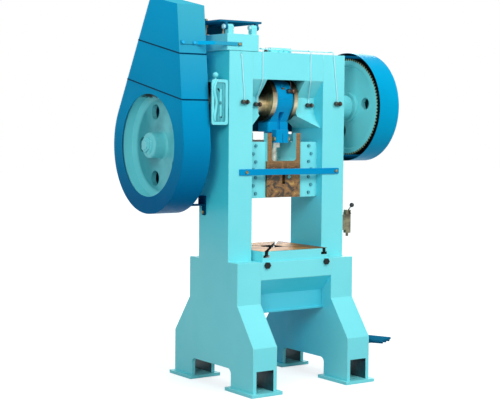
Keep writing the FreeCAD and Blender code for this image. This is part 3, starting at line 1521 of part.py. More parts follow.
def brake_housing():
    """Cast box round the brake, open at its outer end, with a rounded front plate and a rear ear."""
    low = crank_height - housing_low
    high = crank_height + housing_high
    front = -housing_front + housing_wall
    shell = block(-housing_left, -half_width, front, housing_rear, low + plate_lip, high - plate_lip)
    inside = block(-housing_left - 1, -half_width - housing_foot, front, housing_rear - housing_wall,
                   low + plate_lip + housing_wall, high - plate_lip - housing_wall)
    plate_right = -half_width - housing_foot + plate_lip
    plate = prism_y(rectangle(-housing_plate_left, plate_right, low, high, 16.0), -housing_front, front)
    panel = rectangle(-housing_plate_left + housing_rim, plate_right - housing_rim, low + housing_rim,
                      high - housing_rim, 10.0)
    panel = prism_y(panel, -housing_front - 1, -housing_front + housing_recess)
    solid = cut(fuse(shell, plate), inside, panel)
    ear = block(band_x - band_half, -half_width - 1, band_inner + 1, housing_rear - 1,
                crank_height - band_split + 0.3, crank_height + band_split - 0.3)
    solid = fuse(solid, ear)
    solid = cut(solid, round_x(bush_radius + 4, -half_width - 40, -half_width + 1, 0, crank_height))
    hole = brake_pin_radius + hole_clearance
    solid = cut(solid, round_z(hole, crank_height - 30, crank_height + 30, band_x, lug_hole_y))
    solid = cut(solid, round_z(hole, crank_height, high + 1, band_x, -lug_hole_y))
    for x, z, slant in ((band_x - 5, high - 66, 40.0), (band_x + 13, low + 60, 0.0)):
        slot = rectangle(-6, 6, -17, 17, 5.5)
        slot = prism_y(slot, -housing_front - 1, front + 1)
        slot.rotate(V(0, 0, 0), V(0, 1, 0), -slant)
        slot.translate(V(x, 0, z))
        solid = cut(solid, slot)
    return solid


def band_half_ring(end):
    """Upper or lower half of the band: lining and steel with a lug at the front and at the rear."""
    x0 = band_x - band_half
    x1 = band_x + band_half
    ring = round_x(band_outer, x0, x1, 0, crank_height)
    for side in (-1, 1):
        y = side * band_outer
        y0 = min(y - side * 6, y + side * band_lug_reach)
        z0 = min(end * band_split, end * (band_split + band_lug))
        lug = block(x0 + 6, x1 - 6, y0, y0 + band_lug_reach + 6, crank_height + z0,
                    crank_height + z0 + band_lug)
        ring = ring.fuse(lug)
    ring = cut(ring, round_x(band_inner, x0 - 1, x1 + 1, 0, crank_height))
    reach = band_outer + band_lug_reach + 1
    z0 = crank_height + min(end * band_split, end * reach)
    half = ring.common(block(x0, x1, -reach, reach, z0, z0 + reach - band_split))
    for y in (-lug_hole_y, lug_hole_y):
        half = cut(half, round_z(brake_pin_radius + hole_clearance, crank_height - 60, crank_height + 60,
                                 band_x, y))
    return half.removeSplitter()


def brake_pins():
    """Tension screw at the front with a ball on top, and the anchor pin at the rear."""
    low = crank_height - band_split - band_lug
    high = crank_height + band_split + band_lug
    ball_z = crank_height + brake_ball_rise
    screw = round_z(brake_pin_radius, low - 16, ball_z - 8, band_x, -lug_hole_y)
    nut = hexagon(12, 10, V(band_x, -lug_hole_y, low - 10), V(0, 0, 1))
    collar = round_z(11.0, high, high + 8, band_x, -lug_hole_y)
    ball = Part.makeSphere(brake_ball_radius, V(band_x, -lug_hole_y, ball_z))
    pin = round_z(brake_pin_radius, low - 4, high + 4, band_x, lug_hole_y)
    head = round_z(10.0, high, high + 4, band_x, lug_hole_y)
    foot = round_z(10.0, low - 4, low, band_x, lug_hole_y)
    return Part.makeCompound([fuse(screw, nut, collar, ball), fuse(pin, head, foot)])


parts["brake_housing"] = brake_housing()
parts["brake_bands"] = Part.makeCompound([band_half_ring(1), band_half_ring(-1)])
parts["brake_pins"] = brake_pins()


# ---------------------------------------------------------------- pedal and trip gear
pedal_x0 = half_width + pedal_gap
pedal_x1 = pedal_x0 + pedal_arm_width
trip_x = half_width + trip_rod_gap
pad_x = half_width + pad_past_frame
pad_y = pad_inset - half_foot
pad_z = pedal_pivot_z - pad_drop
rod_y = pedal_pivot_y - trip_arm


def pivot_bracket(half, y, z):
    """Plate on the upright's side with a boss and a headed pin for a lever."""
    face = half_width + bracket_thickness
    plate = block(half_width, face, y - half, y + half, z - half, z + half)
    boss = round_x(pedal_pin_radius + 14, face, pedal_x0 - end_play, y, z)
    pin = round_x(pedal_pin_radius, face, pedal_x1 + 12, y, z)
    head = round_x(pedal_pin_radius + 6, pedal_x1 + end_play, pedal_x1 + 8, y, z)
    return fuse(plate, boss, pin, head)


def pedal_bracket():
    return pivot_bracket(bracket_half, pedal_pivot_y, pedal_pivot_z)


def foot_pedal():
    arm = [(pedal_pivot_y + 22, pedal_pivot_z - 20), (pedal_pivot_y + 22, pedal_pivot_z + 20),
           (rod_y, pedal_pivot_z + 20), (pad_y + 60, pad_z + 2), (pad_y - 20, pad_z + 2),
           (pad_y - 20, pad_z - 22),
           (pad_y + 60, pad_z - 24), (rod_y, pedal_pivot_z - 20)]
    arm = prism_x(arm, pedal_x0, pedal_x1)
    pad = prism_z(rectangle(-pad_width / 2, pad_width / 2, -pad_length / 2, pad_length / 2, 10.0), 0,
                  tread_thickness)
    pad.rotate(V(0, 0, 0), V(0, 0, 1), pad_turn)
    pad.translate(V(pad_x, pad_y, pad_z))
    rib = block(pedal_x0, pad_x + 50, pad_y - 8, pad_y + 8, pad_z - 18, pad_z + 1)
    pin = round_x(trip_rod_radius, pedal_x1, trip_x + 12, rod_y, pedal_pivot_z)
    solid = fuse(arm, pad, rib, pin)
    return cut(solid, round_x(pedal_pin_radius + pedal_hole_clearance, pedal_x0 - 1, pedal_x1 + 1,
                              pedal_pivot_y, pedal_pivot_z))


def trip_rod():
    """Upright pull rod with an eye at each end."""
    eye_radius = trip_rod_radius + eye_clearance
    low = pedal_pivot_z - eye_clearance + guide_clearance
    high = trip_lever_z - eye_clearance + guide_clearance
    rod = round_z(trip_rod_radius, low + 10, high - 10, trip_x, rod_y)
    for z in (low, high):
        rod = rod.fuse(round_x(20.0, trip_x - 6, trip_x + 6, rod_y, z))
    for z in (low, high):
        rod = cut(rod, round_x(eye_radius, trip_x - 20, trip_x + 20, rod_y, z))
    return rod.removeSplitter()


def trip_lever_bracket():
    return pivot_bracket(lever_bracket_half, rod_y + trip_arm, trip_lever_z)


def trip_lever():
    """Bell crank: one arm to the trip rod, the other up beside the clutch sleeve."""
    y = rod_y + trip_arm
    arm = prism_x([(y + 20, trip_lever_z - 18), (y + 20, trip_lever_z + 18),
                   (rod_y - 14, trip_lever_z + 12),
                   (rod_y - 14, trip_lever_z - 12)], pedal_x0, pedal_x1)
    near = y - finger_reach
    far = near + finger_width
    top = trip_lever_z + finger_rise
    finger = prism_x([(y - 16, trip_lever_z), (y + 16, trip_lever_z), (far, top), (near, top - 6)],
                     pedal_x0, pedal_x1)
    tooth = prism_x([(near, top - tooth_height), (far - 2, top - tooth_height), (far, top),
                     (near, top - 6)], pedal_x0, clutch_left + 40)
    pin = round_x(trip_rod_radius, pedal_x1, trip_x + 12, rod_y, trip_lever_z)
    solid = fuse(arm, finger, tooth, pin)
    return cut(solid, round_x(pedal_pin_radius + pedal_hole_clearance, pedal_x0 - 1, pedal_x1 + 1, y,
                              trip_lever_z))


parts["foot_pedal"] = foot_pedal()
parts["trip_rod"] = trip_rod()
parts["trip_brackets"] = Part.makeCompound([pedal_bracket(), trip_lever_bracket()])
parts["trip_lever"] = trip_lever()


# ---------------------------------------------------------------- oil pump and oil lines
pump_x = half_width + pump_past_frame
pump_y = pump_inset - half_pillar
pump_bottom = base_top + pump_rise
pump_top = pump_bottom + pump_height
lever_z = pump_top - pump_fork_depth
lever_direction = V(0, -0.7, 0.714).normalize()


def oil_pump():
    body = round_z(pump_radius, pump_bottom, pump_top, pump_x, pump_y)
    lid = round_z(pump_radius + 3, pump_top - 26, pump_top - 18, pump_x, pump_y)
    mount = block(half_width, pump_x - 6, pump_y - 14, pump_y + 14, pump_bottom + 20, pump_top - 30)
    outlet = round_z(9.0, pump_bottom - 22, pump_bottom, pump_x, pump_y)
    solid = fuse(body, lid, mount, outlet)
    fork = block(pump_x - 7, pump_x + 7, pump_y - 30, pump_y + 30, lever_z - 12, pump_top + 1)
    solid = cut(solid, fork)
    return fuse(solid, round_x(lever_pin_radius, pump_x - 20, pump_x + 20, pump_y, lever_z))


def pump_lever():
    eye = round_x(2 * lever_pin_radius, pump_x - 5, pump_x + 5, pump_y, lever_z)
    solid = fuse(eye, lever_stem())
    return cut(solid, round_x(lever_pin_radius + pedal_hole_clearance, pump_x - 10, pump_x + 10, pump_y,
                              lever_z))


def lever_stem():
    return Part.makeCylinder(4.0, lever_length, V(pump_x, pump_y, lever_z), lever_direction)


def pump_knob():
    tip = V(pump_x, pump_y, lever_z) + lever_direction * (lever_length + 6)
    return Part.makeSphere(knob_radius, tip).cut(lever_stem())


def pipe_along(points, radius):
    """Tube along straight runs joined by tangent arcs."""
    points = [V(*p) for p in points]
    edges = []
    start = points[0]
    for i in range(1, len(points) - 1):
        here = points[i]
        back = (points[i - 1] - here).normalize()
        ahead = (points[i + 1] - here).normalize()
        half = back.getAngle(ahead) / 2
        reach = pipe_bend / math.tan(half)
        first = here + back * reach
        last = here + ahead * reach
        middle = here + (back + ahead).normalize() * (pipe_bend / math.sin(half) - pipe_bend)
        edges.append(Part.LineSegment(start, first).toShape())
        edges.append(Part.Arc(first, middle, last).toShape())
        start = last
    edges.append(Part.LineSegment(start, points[-1]).toShape())
    path = Part.Wire(edges)
    direction = (points[1] - points[0]).normalize()
    profile = Part.Wire(Part.makeCircle(radius, points[0], direction))
    return path.makePipeShell([profile], True, False)


pipe_y = -half_pillar - pipe_radius - pipe_gap
pipe_top = frame_top + pipe_bend
fitting_top = fitting_radius * math.cos(math.radians(30))


def housing_slope(y, offset):
    """Height of a line in front of the housing's upper slope at a depth y."""
    slope = math.atan2(crown_bottom - crank_height - boss_half_height, half_pillar - boss_half_depth)
    return crown_bottom - (y + half_pillar) * math.tan(slope) - offset / math.cos(slope)


def pipe_routes():
    """Each oil pipe, from the distributor or the hole in the upright down to its fitting."""
    low = fitting_z + fitting_top
    x = pipe_start_xs[0]
    start = frame_top - pipe_hole_drop
    left = [(x, -half_pillar + 24, start), (x, pipe_y, start), (fitting_xs[0], pipe_y, low + 50),
            (fitting_xs[0], pipe_y, low)]
    x = pipe_start_xs[1]
    right = [(60, distributor_y0, pipe_top), (60, row_near, pipe_top), (x, row_near, pipe_top),
             (x, pipe_y, pipe_top),
             (fitting_xs[1], pipe_y, low + 50), (fitting_xs[1], pipe_y, low)]
    routes = [left, right]
    front = -boss_half_depth - pipe_radius - pipe_gap
    off = pipe_radius + 3.2
    for k, outlet in enumerate((-20, 20)):
        x = housing_pipe_xs[k]
        end = housing_fitting_xs[k]
        routes.append([(outlet, distributor_y0, pipe_top), (outlet, row_far, pipe_top),
                       (x, row_far, pipe_top),
                       (x, pipe_y, pipe_top), (x, pipe_y, housing_slope(pipe_y, off)),
                       (end, front, housing_slope(front, off)),
                       (end, front, housing_fitting_z + fitting_top)])
    return routes


def distributor():
    body = block(-80, 80, distributor_y0, distributor_y1, frame_top, frame_top + 34)
    nipple = round_z(7.0, frame_top, frame_top + 30, -112, -70)
    cap = hexagon(13, 16, V(-112, -70, frame_top), V(0, 0, 1))
    side_nipple = hexagon(8, 12, V(half_width, 33 - half_pillar, base_top + 16), V(1, 0, 0))
    return [body, fuse(nipple, cap), side_nipple]


def fittings():
    solids = []
    for x in fitting_xs:
        solids.append(hexagon(fitting_radius, fitting_height, V(x, -half_pillar, fitting_z), V(0, -1, 0)))
    for x in housing_fitting_xs:
        solids.append(hexagon(fitting_radius, fitting_height, V(x, -boss_half_depth, housing_fitting_z),
                              V(0, -1, 0)))
    return solids


parts["oil_pump"] = oil_pump()
parts["pump_lever"] = pump_lever()
parts["pump_knob"] = pump_knob()
parts["oil_fittings"] = Part.makeCompound(distributor() + fittings())
parts["oil_pipes"] = Part.makeCompound([pipe_along(route, pipe_radius) for route in pipe_routes()])

# ---------------------------------------------------------------- write one file per piece
os.makedirs("parts", exist_ok=True)
for name, shape in parts.items():
    shape.exportStep("parts/" + name + ".step")
    print(name, len(shape.Solids), round(shape.Volume / 1e6, 3), shape.isValid())
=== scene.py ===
"""Looks of the stamping press: materials, small surface pieces, studio and camera, all in metres."""

import json
import math

import bmesh
import bpy
from mathutils import Matrix, Vector


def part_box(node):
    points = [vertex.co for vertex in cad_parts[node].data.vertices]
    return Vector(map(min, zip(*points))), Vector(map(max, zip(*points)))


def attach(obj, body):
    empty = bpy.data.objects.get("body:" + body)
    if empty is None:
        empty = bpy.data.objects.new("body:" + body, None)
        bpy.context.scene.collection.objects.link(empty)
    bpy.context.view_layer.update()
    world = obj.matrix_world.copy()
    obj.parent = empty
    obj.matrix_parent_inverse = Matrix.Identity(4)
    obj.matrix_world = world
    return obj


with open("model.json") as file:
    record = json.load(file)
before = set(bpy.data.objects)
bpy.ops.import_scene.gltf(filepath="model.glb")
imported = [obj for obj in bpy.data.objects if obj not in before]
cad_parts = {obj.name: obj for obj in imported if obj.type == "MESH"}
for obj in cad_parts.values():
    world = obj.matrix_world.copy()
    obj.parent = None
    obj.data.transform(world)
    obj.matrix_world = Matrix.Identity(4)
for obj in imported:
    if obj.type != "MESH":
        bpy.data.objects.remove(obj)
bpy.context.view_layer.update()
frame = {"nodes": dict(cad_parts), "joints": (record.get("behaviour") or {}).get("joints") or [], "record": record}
nodes = frame["nodes"]
joints = {joint["name"]: joint for joint in frame["joints"]}
X, Y, Z = 0, 1, 2
LOW, HIGH = 0, 1

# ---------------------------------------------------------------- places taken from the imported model
CRANK_Z = joints["crank_spin"]["pos_m"][Z]
BACK_Y = joints["back_shaft_spin"]["pos_m"][Y]
BACK_Z = joints["back_shaft_spin"]["pos_m"][Z]
SHAFT_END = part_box("back_shaft")[LOW][X]
FRAME_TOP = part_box("crown_beam")[HIGH][Z]
PILLAR_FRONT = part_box("crown_beam")[LOW][Y]
FRAME_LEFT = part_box("left_upright")[LOW][X]
BED_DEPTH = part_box("bed_beam")[HIGH][Y]
BED_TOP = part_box("bed_beam")[HIGH][Z]
TABLE_WIDTH, TABLE_DEPTH, TABLE_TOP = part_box("bolster_plate")[HIGH]
RAM_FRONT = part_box("ram")[LOW][Y]
RAM_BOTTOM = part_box("ram")[LOW][Z]
GEAR_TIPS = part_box("crank_gear")[HIGH][Y]
FLYWHEEL_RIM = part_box("flywheel")[HIGH][Z] - BACK_Z
BRAKE_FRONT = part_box("brake_housing")[LOW][Y]
GUARD_FAR_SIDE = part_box("gear_guard")[HIGH][X]

# ---------------------------------------------------------------- sizes repeated from the part's source
U_FLOOR = RAM_BOTTOM + 0.230           # floor of the ram's U cut, above its base
RAM_PLUG_X = 0.042                     # grease plug on the ram's front
RAM_PLUG_Z = RAM_BOTTOM + 0.129
HOUSING_FRONT = -0.071                 # Y of the bearing housings' flare, where their oil fittings sit
PILLAR_FITTINGS = (-0.342, 0.386)      # X of the oil fittings on the uprights
PILLAR_FITTINGS_Z = CRANK_Z + 0.016
HOUSING_FITTINGS = (-0.182, 0.226)     # X of those on the bearing housings
HOUSING_FITTINGS_Z = CRANK_Z + 0.004
FITTING_PROUD = 0.016                  # the fittings' axis in front of the face that they sit on
DISTRIBUTOR_HALF = 0.080               # half the length of the oil distributor on the crown
TUNNEL_INNER = 0.300                   # the tunnels through the feet, from the press's middle
TUNNEL_OUTER = 0.425
TUNNEL_TOP = 0.150
# The next three: where the uprights' painted shade lies.
LEG_SHADE = (-0.42, 0.05)              # Y where the legs' inner walls start to deepen, and are deepest
LEG_TOP = (0.66, 0.60)                 # Z where that shade starts, going down, and is full
GUARD_SHADE = (0.80, 1.15)             # Z where the shade beside the belt guard starts, and is full
GUARD_BOLTS = -0.60                    # the belt guard's own bolts are left of this X
FLYWHEEL_HUB = 0.081                   # radii on the flywheel
FLYWHEEL_WEB = 0.290
RIM_INSIDE = 0.336
SHAFT_STUB = 0.031                     # the back shaft's painted end, in the flywheel's nut and past it
DRUM_PLATE_SEEN = 0.300                # radius of the gear guard's plate that shows through the gear
GUARD_LEAN = math.radians(12.0)        # the belt guard leans back
GUARD_SEAMS = (0.358, 0.622)           # its joining strips, along it from the flywheel's axis
TREAD_X = 0.568                        # centre of the pedal's tread
TREAD_INSET = 0.106
TREAD_UNDER = 0.246
TREAD_TURN = math.radians(25.0)


# ---------------------------------------------------------------- colours
def srgb(r, g, b):
    """Linear colour from 0-255 display values."""
    def channel(value):
        value = value / 255
        return value / 12.92 if value <= 0.04045 else ((value + 0.055) / 1.055) ** 2.4
    return (channel(r), channel(g), channel(b), 1.0)


WHITE = (1, 1, 1, 1)
AQUA = srgb(131, 230, 234)
AQUA_WORN = srgb(184, 246, 246)
AQUA_DUSTY = srgb(121, 223, 229)
# The next two: painted shade on the bed beam's set-back panels.
AQUA_PANEL_SHADE = srgb(78, 198, 216)
AQUA_SET_BACK_SHADE = srgb(84, 224, 240)
# Painted shade on the flywheel's web.
AQUA_WEB_SHADE = srgb(76, 176, 184)
# The next three: painted shade on the uprights' inner walls, on the legs' inner walls, and on the outer side
# beside the belt guard.
AQUA_INNER_SHADE = srgb(92, 220, 238)
AQUA_LEG_SHADE = srgb(8, 188, 214)
AQUA_SHADED = srgb(76, 224, 234)
# The next two: painted shade, streaked, on the brake housing's set-back panel.
PANEL_SHADE = srgb(86, 180, 188)
PANEL_SHADE_STREAK = srgb(56, 148, 158)
GUARD = srgb(7, 168, 217)
GUARD_WORN = srgb(50, 184, 220)
GUARD_DUSTY = srgb(5, 160, 209)
GUARD_SEAM = srgb(0, 56, 88)
# The next four: painted shade low on the belt guard, painted light on its top, and on its front painted shade low
# and a painted highlight high.
GUARD_LOW_SHADE = srgb(2, 104, 153)
GUARD_TOP_LIGHT = srgb(12, 184, 236)
STRIP_LOW_SHADE = srgb(8, 146, 192)
STRIP_TOP_HIGHLIGHT = srgb(68, 172, 192)
DRUM = srgb(6, 160, 204)
DRUM_DUSTY = srgb(4, 152, 196)
BLUE_SHINE = (0.0, 0.45, 1.0, 1.0)
OIL_SHINE = (1.0, 0.8, 0.6, 1.0)
# The next two: dark, mottled painted shade inside the tunnels through the feet.
TUNNEL_SHADE = srgb(10, 50, 68)
TUNNEL_SHADE_DARK = srgb(4, 20, 30)
# Black of grease; also painted shade inside the gear guard and painted shadow at the flywheel's top.
GREASE_AND_SHADE = srgb(22, 22, 20)
GEAR_RUBBED = srgb(168, 176, 132)
RAM_OIL = srgb(156, 110, 58)
RAM_OIL_DARK = srgb(120, 82, 40)
RAM_STAIN = srgb(44, 32, 18)
RAM_WIPED = srgb(192, 146, 78)
TABLE_OIL = srgb(216, 142, 52)
TABLE_OIL_DARK = srgb(160, 96, 30)
TABLE_RUBBED = srgb(232, 176, 88)
# Darker towards the bolster's right end.
TABLE_DARK_END = srgb(112, 72, 28)
SLOT_DIRT = srgb(34, 40, 38)
SHAFT_STEEL = srgb(150, 144, 126)
SHAFT_DARK = srgb(96, 90, 76)
# Painted highlight across the crank webs' middle, and their darker top and bottom.
WEB_HIGHLIGHT = srgb(206, 192, 158)
WEB_DARK = srgb(56, 46, 30)
FITTING_OLD = srgb(20, 34, 38)
FITTING_RUSTY = srgb(70, 60, 44)
HEAD_PAINT = srgb(74, 160, 172)
# The next two: mottled painted shade round the gib bolts' flanks.
FLANK_SHADE = srgb(14, 44, 54)
FLANK_HALF_SHADE = srgb(40, 92, 104)
BOLT_GOLD = srgb(186, 160, 104)
BOLT_GOLD_DARK = srgb(112, 92, 56)
BOLT_BLACK = srgb(14, 16, 16)


# ---------------------------------------------------------------- material helpers
class Shader:
    """A node material built from left to right round one Principled BSDF."""

    def __init__(self, name, roughness=0.4, metallic=0.0, coat=0.0, coat_roughness=0.1, specular=0.5,
                 tint=WHITE):
        self.material = bpy.data.materials.new(name)
        self.material.use_nodes = True
        self.tree = self.material.node_tree
        self.bsdf = self.tree.nodes["Principled BSDF"]
        self.bsdf.inputs["Roughness"].default_value = roughness
        self.bsdf.inputs["Metallic"].default_value = metallic
        self.bsdf.inputs["Coat Weight"].default_value = coat
        self.bsdf.inputs["Coat Roughness"].default_value = coat_roughness
        self.bsdf.inputs["Specular IOR Level"].default_value = specular
        self.bsdf.inputs["Specular Tint"].default_value = tint
        coordinates = self.tree.nodes.new("ShaderNodeTexCoord")
        self.place = coordinates.outputs["Object"]
        self.facing = coordinates.outputs["Normal"]

    def link(self, source, target):
        self.tree.links.new(source, target)

    def noise(self, scale, detail=4.0, roughness=0.55, stretch=(1, 1, 1), distortion=0.0):
        mapping = self.tree.nodes.new("ShaderNodeMapping")
        mapping.inputs["Scale"].default_value = stretch
        self.link(self.place, mapping.inputs["Vector"])
        node = self.tree.nodes.new("ShaderNodeTexNoise")
        node.inputs["Scale"].default_value = scale
        node.inputs["Detail"].default_value = detail
        node.inputs["Roughness"].default_value = roughness
        node.inputs["Distortion"].default_value = distortion
        self.link(mapping.outputs["Vector"], node.inputs["Vector"])
        return node.outputs["Fac"]

    def spread(self, value, low, high, out_low=0.0, out_high=1.0):
        """The range low to high, either way round, mapped to out_low to out_high and held there."""
        node = self.tree.nodes.new("ShaderNodeMapRange")
        node.inputs["From Min"].default_value = low
        node.inputs["From Max"].default_value = high
        node.inputs["To Min"].default_value = out_low
        node.inputs["To Max"].default_value = out_high
        self.link(value, node.inputs["Value"])
        return node.outputs["Result"]

    def calculate(self, operation, first, second=0.0):
        """One step of arithmetic on sockets or plain numbers."""
        node = self.tree.nodes.new("ShaderNodeMath")
        node.operation = operation
        for value, socket in ((first, node.inputs[0]), (second, node.inputs[1])):
            if isinstance(value, (int, float)):
                socket.default_value = value
            else:
                self.link(value, socket)
        return node.outputs["Value"]

    def times(self, first, second):
        return self.calculate("MULTIPLY", first, second)

    def plus(self, first, second):
        return self.calculate("ADD", first, second)

    def minus(self, first, second):
        return self.calculate("SUBTRACT", first, second)

    def size(self, value):
        """The value without its sign."""
        return self.calculate("ABSOLUTE", value)

    def blend(self, factor, first, second):
        """The first colour where the factor is 0, the second where it is 1."""
        node = self.tree.nodes.new("ShaderNodeMix")
        node.data_type = "RGBA"
        colours = [s for s in node.inputs if s.type == "RGBA"]
        self.link(factor, node.inputs["Factor"])
        for value, socket in ((first, colours[0]), (second, colours[1])):
            if isinstance(value, tuple):
                socket.default_value = value
            else:
                self.link(value, socket)
        return [s for s in node.outputs if s.type == "RGBA"][0]

    def split(self, vector, axis):
        node = self.tree.nodes.new("ShaderNodeSeparateXYZ")
        self.link(vector, node.inputs["Vector"])
        return node.outputs[axis]

    def at(self, axis):
        """One coordinate of the point on the object."""
        return self.split(self.place, axis)

    def faces(self, axis, low=0.6, high=0.7):
        """1 where the surface faces along the axis, either way, and 0 where it faces across it."""
        return self.spread(self.size(self.split(self.facing, axis)), low, high)

    def faces_across(self, axis):
        return self.minus(1.0, self.faces(axis))

    def faces_up(self):
        return self.spread(self.split(self.facing, Z), 0.8, 0.9)

    def radius(self, y, z):
        """Distance from a line along X through y and z."""
        dy = self.minus(self.at(Y), y)
        dz = self.minus(self.at(Z), z)
        square = self.plus(self.times(dy, dy), self.times(dz, dz))
        return self.calculate("POWER", square, 0.5)

    def inwards(self, y, z):
        """Positive where the surface faces towards a line along X through y and z."""
        dy = self.times(self.minus(self.at(Y), y), self.split(self.facing, Y))
        dz = self.times(self.minus(self.at(Z), z), self.split(self.facing, Z))
        return self.times(self.plus(dy, dz), -1.0)

    def beyond(self, value, edge, soft=0.002):
        """1 where the value is over the edge, 0 below it."""
        return self.spread(value, edge - soft, edge + soft)

    def within(self, value, low, high, soft=0.0006):
        """1 where the value is between low and high, 0 outside."""
        return self.times(self.beyond(value, low, soft), self.spread(value, high + soft, high - soft))

    def rings(self, distance, pitch):
        """Fine turning marks: a wave of the distance from the axis."""
        return self.calculate("SINE", self.times(distance, 2 * math.pi / pitch))

    def edges(self, radius):
        """1 near the solid's sharp edges, 0 on its flats."""
        bevel = self.tree.nodes.new("ShaderNodeBevel")
        bevel.samples = 4
        bevel.inputs["Radius"].default_value = radius
        geometry = self.tree.nodes.new("ShaderNodeNewGeometry")
        dot = self.tree.nodes.new("ShaderNodeVectorMath")
        dot.operation = "DOT_PRODUCT"
        self.link(bevel.outputs["Normal"], dot.inputs[0])
        self.link(geometry.outputs["Normal"], dot.inputs[1])
        return self.spread(dot.outputs["Value"], 0.98, 0.80)

    def bump(self, *layers, rounding=0.002):
        """Layers are (height, distance in metres); a small bevel rounds every edge under them."""
        bevel = self.tree.nodes.new("ShaderNodeBevel")
        bevel.samples = 4
        bevel.inputs["Radius"].default_value = rounding
        normal = bevel.outputs["Normal"]
        for height, distance in layers:
            node = self.tree.nodes.new("ShaderNodeBump")
            node.inputs["Strength"].default_value = 1.0
            node.inputs["Distance"].default_value = distance
            self.link(height, node.inputs["Height"])
            self.link(normal, node.inputs["Normal"])
            normal = node.outputs["Normal"]
        self.link(normal, self.bsdf.inputs["Normal"])

    def colour(self, value):
        self.link(value, self.bsdf.inputs["Base Color"])

    def rough(self, value, low, high):
        """Roughness from low to high as a noise goes from its dark to its light parts."""
        self.link(self.spread(value, 0.3, 0.7, low, high), self.bsdf.inputs["Roughness"])


def enamel(s, main, worn, dusty, wave=0.0006, rounding=0.004):
    """Brushed gloss enamel on castings: soft waves, light worn edges and a little dust."""
    broad = s.noise(scale=1.7, detail=3.0)
    cloud = s.noise(scale=9.0, detail=5.0, roughness=0.6)
    peel = s.noise(scale=120.0, detail=2.0)
    tone = s.blend(s.spread(broad, 0.35, 0.7), main, dusty)
    edge = s.times(s.edges(rounding * 1.5), s.spread(cloud, 0.42, 0.62))
    s.rough(cloud, 0.30, 0.46)
    s.bump((cloud, wave), (peel, 0.00008), rounding=rounding)
    return s.blend(edge, tone, worn)


def paint(name, main, worn, dusty, specular=0.5, coat=0.2, tint=WHITE, rounding=0.004):
    """Enamel in three shades, for nodes that are painted all over."""
    s = Shader(name, coat=coat, coat_roughness=0.18, specular=specular, tint=tint)
    s.colour(enamel(s, main, worn, dusty, rounding=rounding))
    return s.material


def metal(name, main, dark, scale=60.0, stretch=(1, 1, 1), roughness=(0.25, 0.45), metallic=1.0,
          bump=0.0001):
    """Bare or oiled metal with fine tool marks, and stains between its two colours."""
    s = Shader(name, metallic=metallic)
    marks = s.noise(scale, detail=4.0, roughness=0.6, stretch=stretch)
    stain = s.noise(scale=14.0, detail=5.0, roughness=0.65, distortion=0.6)
    s.colour(s.blend(s.spread(stain, 0.40, 0.66), main, dark))
    s.rough(marks, *roughness)
    s.bump((marks, bump), rounding=0.0015)
    return s.material


# ---------------------------------------------------------------- materials of single nodes
def slide_iron():
    """Front and back of the ram under brown oil, blotched low down; the U's inside is enamelled."""
    s = Shader("oiled_slide_iron", coat=0.15, coat_roughness=0.25)
    brushed = s.noise(scale=30.0, detail=4.0, roughness=0.6, stretch=(1, 1, 5))
    blotch = s.noise(scale=15.0, detail=6.0, roughness=0.7, distortion=1.3)
    low_down = s.spread(s.at(Z), U_FLOOR - 0.062, U_FLOOR - 0.002, 1.0, 0.12)
    oil = s.blend(s.spread(brushed, 0.35, 0.65), RAM_OIL, RAM_OIL_DARK)
    oil = s.blend(s.times(s.spread(blotch, 0.48, 0.56), low_down), oil, RAM_STAIN)
    oil = s.blend(s.times(s.spread(blotch, 0.42, 0.36), low_down), oil, RAM_WIPED)
    inside = s.times(s.faces_across(Y), s.beyond(s.at(Z), U_FLOOR - 0.001))
    s.colour(s.blend(inside, oil, AQUA))
    s.rough(blotch, 0.34, 0.5)
    s.bump((brushed, 0.00015), (blotch, 0.0003), rounding=0.0015)
    return s.material


def table_iron():
    """Bolster: ground top under tan oil, sides in enamel, dark slots."""
    s = Shader("oiled_table_iron", specular=0.08, tint=OIL_SHINE)
    grain = s.noise(scale=40.0, detail=4.0, roughness=0.6, stretch=(6, 1, 1))
    stain = s.noise(scale=7.0, detail=5.0, roughness=0.65, distortion=0.8)
    oil = s.blend(s.spread(stain, 0.42, 0.62), TABLE_OIL, TABLE_OIL_DARK)
    oil = s.blend(s.times(s.spread(grain, 0.5, 0.7), 0.4), oil, TABLE_RUBBED)
    # Darker towards the right end, in noisy patches.
    right_end = s.times(s.spread(s.at(X), -0.05, 0.24), s.spread(stain, 0.36, 0.56))
    oil = s.blend(right_end, oil, TABLE_DARK_END)
    end_wall = s.beyond(s.size(s.at(X)), TABLE_WIDTH - 0.0015, 0.0006)
    long_wall = s.beyond(s.size(s.at(Y)), TABLE_DEPTH - 0.0015, 0.0006)
    side = s.blend(s.calculate("MAXIMUM", end_wall, long_wall), SLOT_DIRT, AQUA)
    ground = s.times(s.faces_up(), s.beyond(s.at(Z), TABLE_TOP - 0.002, 0.0006))
    s.colour(s.blend(ground, side, oil))
    s.rough(grain, 0.34, 0.5)
    s.bump((grain, 0.00008), rounding=0.001)
    return s.material


def gear_iron(name, y, z, rim, tips):
    """Enamelled gear: a rubbed, oily line from the rim's radius on, black grease from the tips' on."""
    s = Shader(name, specular=0.3, coat=0.1, coat_roughness=0.2)
    base = enamel(s, AQUA, AQUA_WORN, AQUA_DUSTY)
    smear = s.noise(scale=30.0, detail=4.0, roughness=0.6)
    edge = s.plus(s.radius(y, z), s.times(smear, 0.004))
    base = s.blend(s.beyond(edge, rim + 0.002), base, GEAR_RUBBED)
    base = s.blend(s.beyond(edge, tips + 0.002), base, GREASE_AND_SHADE)
    flank = s.times(s.faces_across(X), s.beyond(s.radius(y, z), rim - 0.004))
    s.colour(s.blend(flank, base, GREASE_AND_SHADE))
    return s.material


